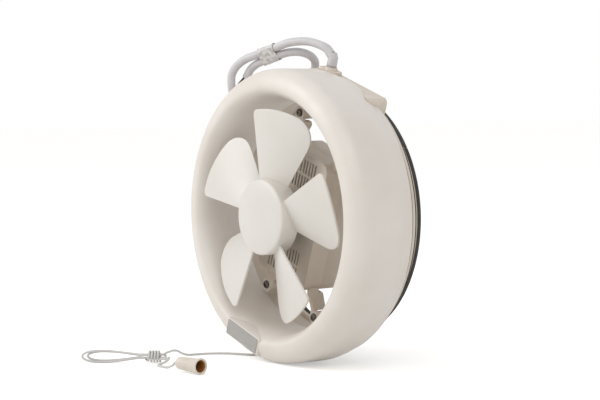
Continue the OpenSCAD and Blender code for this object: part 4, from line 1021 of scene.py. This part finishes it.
for vertex in wrap.data.vertices:
    a, along = math.atan2(vertex.co.y, vertex.co.x), vertex.co.z
    x = wrap_r * math.cos(a) + spread * max(-1, min(1, 2.2 * math.cos(a)))
    y = wrap_r * math.sin(a) * (1 - 0.10 * math.sin(a) ** 8)
    ripple = noise.fractal(Vector((2.4 * math.cos(a), 2.4 * math.sin(a), along * 0.55)), 0.8, 2.0, 4)
    end = min(1, (WRAP_HALF - abs(along)) / 2.5)
    out = 1 + 0.055 * ripple + 0.03 * (1 - end)
    lean = 0.5 * noise.noise(Vector((1.5 * math.cos(a), 1.5 * math.sin(a), 3.0)))
    vertex.co = (x * out, y * out, along + lean * (along / WRAP_HALF))
apply_modifier(wrap, "SOLIDIFY", thickness=FILM_T, offset=1)
settle(wrap, wrap_place, 60)
print("wrap faces:", face_count(wrap))

# %% [markdown]
# ## Strain relief
# Where the flex leaves the gland, a thin sleeve of the same PVC spreads its bend. It is a tube along the
# cable's own line, whose radius shrinks along the way.

# %% Strain relief
RELIEF_FROM, RELIEF_TO = 4.5, 33
relief_line = [point for i, point in enumerate(cable_line) if RELIEF_FROM < i * CABLE_STEP < RELIEF_TO]
relief_length = route_length(relief_line)
relief_sleeve = tube("strain_relief_sleeve", relief_line, CABLE_D / 2, 28,
                     lambda turn, along: 0.24 * (1 - along / relief_length) + 0.02)
print(f"strain relief: {relief_length:.0f} mm long")

# %% [markdown]
# ## The new pieces in place
# The blades and hub ride on the rotor, and everything else here on the frame's own body.

# %% Moulded pieces in place
place(drum, "front_casing", "front_casing")
place(pad, "front_casing")
place(plate, "label_plate", "label_plate")
place(hub, "impeller", "impeller", body="rotor")
for piece in blades:
    place(piece, "impeller", body="rotor")
for node, piece in eased_parts.items():
    place(piece, node, node)

# %% Rubber, screws, bell and wrap in place
place(pane_ring, "pane_packing", "pane_packing")
place(drum_ring, "pane_packing")
place(rim_strip, "rim_packing", "rim_packing")
place(screw, "leg_screws", "leg_screws")
for copy in leg_screws[1:]:
    place(copy, "leg_screws")
place(bell, "pull_bell", "pull_bell")
place(amber_inside, "bell_stop")
place(stopper, "bell_stop", "bell_stop")
place(wrap, "cable_tag", "cable_tag")
place(relief_sleeve, "cable_gland", material=pvc_sheath)
print("pieces placed")

# %% Cords are placed
print("cords are in place")

# %% [markdown]
# ## Studio
# The photograph is on pure white with hardly a shadow. A pale floor and a white world give that. Only rays from
# the camera, gloss or clear pieces see the full white, so none of it adds light to the fan. Two large soft
# lamps stand to the left and above, and the world fills the rest.

# %% Floor
def seen_in_full(tree):
    """1 for a ray from the camera, or by way of gloss or a clear piece, and 0 for any other."""
    rays = add(tree, "LightPath").outputs
    seen = rays["Is Camera Ray"]
    for kind in ("Is Glossy Ray", "Is Transmission Ray"):
        seen = add(tree, "Math", {0: seen, 1: rays[kind]}, operation="MAXIMUM").outputs[0]
    return seen


pick()
bpy.ops.mesh.primitive_plane_add(size=16, location=(0, 0, FLOOR_Z * MM - 0.0002))
floor = bpy.context.object
floor.name = "studio_floor"
paper, tree, shader = new_finish("studio_paper_white", "F2F1EF", 0.9, IOR=1.3)
glow = add(tree, "Emission", {"Color": (1, 1, 1, 1), "Strength": 0.42})
lit = add(tree, "AddShader", {0: shader.outputs["BSDF"], 1: glow.outputs["Emission"]})
choice = add(tree, "MixShader", {0: seen_in_full(tree), 1: shader.outputs["BSDF"], 2: lit.outputs[0]})
tree.links.new(choice.outputs["Shader"], tree.nodes["Material Output"].inputs["Surface"])
give_finish(floor, paper)

# %% World and lamps
world = bpy.data.worlds.new("studio_white")
bpy.context.scene.world = world
world.use_nodes = True
tree = world.node_tree
fill = add(tree, "Background", {"Color": (1, 1, 1, 1), "Strength": 0.62})
white = add(tree, "Background", {"Color": (1, 1, 1, 1), "Strength": 1.0})
choice = add(tree, "MixShader", {0: seen_in_full(tree), 1: fill.outputs[0], 2: white.outputs[0]})
tree.links.new(choice.outputs[0], tree.nodes["World Output"].inputs["Surface"])


def soft_lamp(name, spot, size, power):
    """A square lamp that looks at the fan."""
    lamp = linked(name, bpy.data.lights.new(name, "AREA"))
    lamp.data.shape, lamp.data.size, lamp.data.energy = "SQUARE", size, power
    lamp.location = spot
    lamp.rotation_euler = (VIEW_TARGET - Vector(spot)).to_track_quat("-Z", "Y").to_euler()


soft_lamp("lamp_front_left", (-1.3, -1.9, 1.3), 1.6, 24)
soft_lamp("lamp_over_camera", (1.6, -1.0, 1.7), 1.8, 14)
bpy.context.scene.view_settings.view_transform = "Standard"
print("studio is lit")
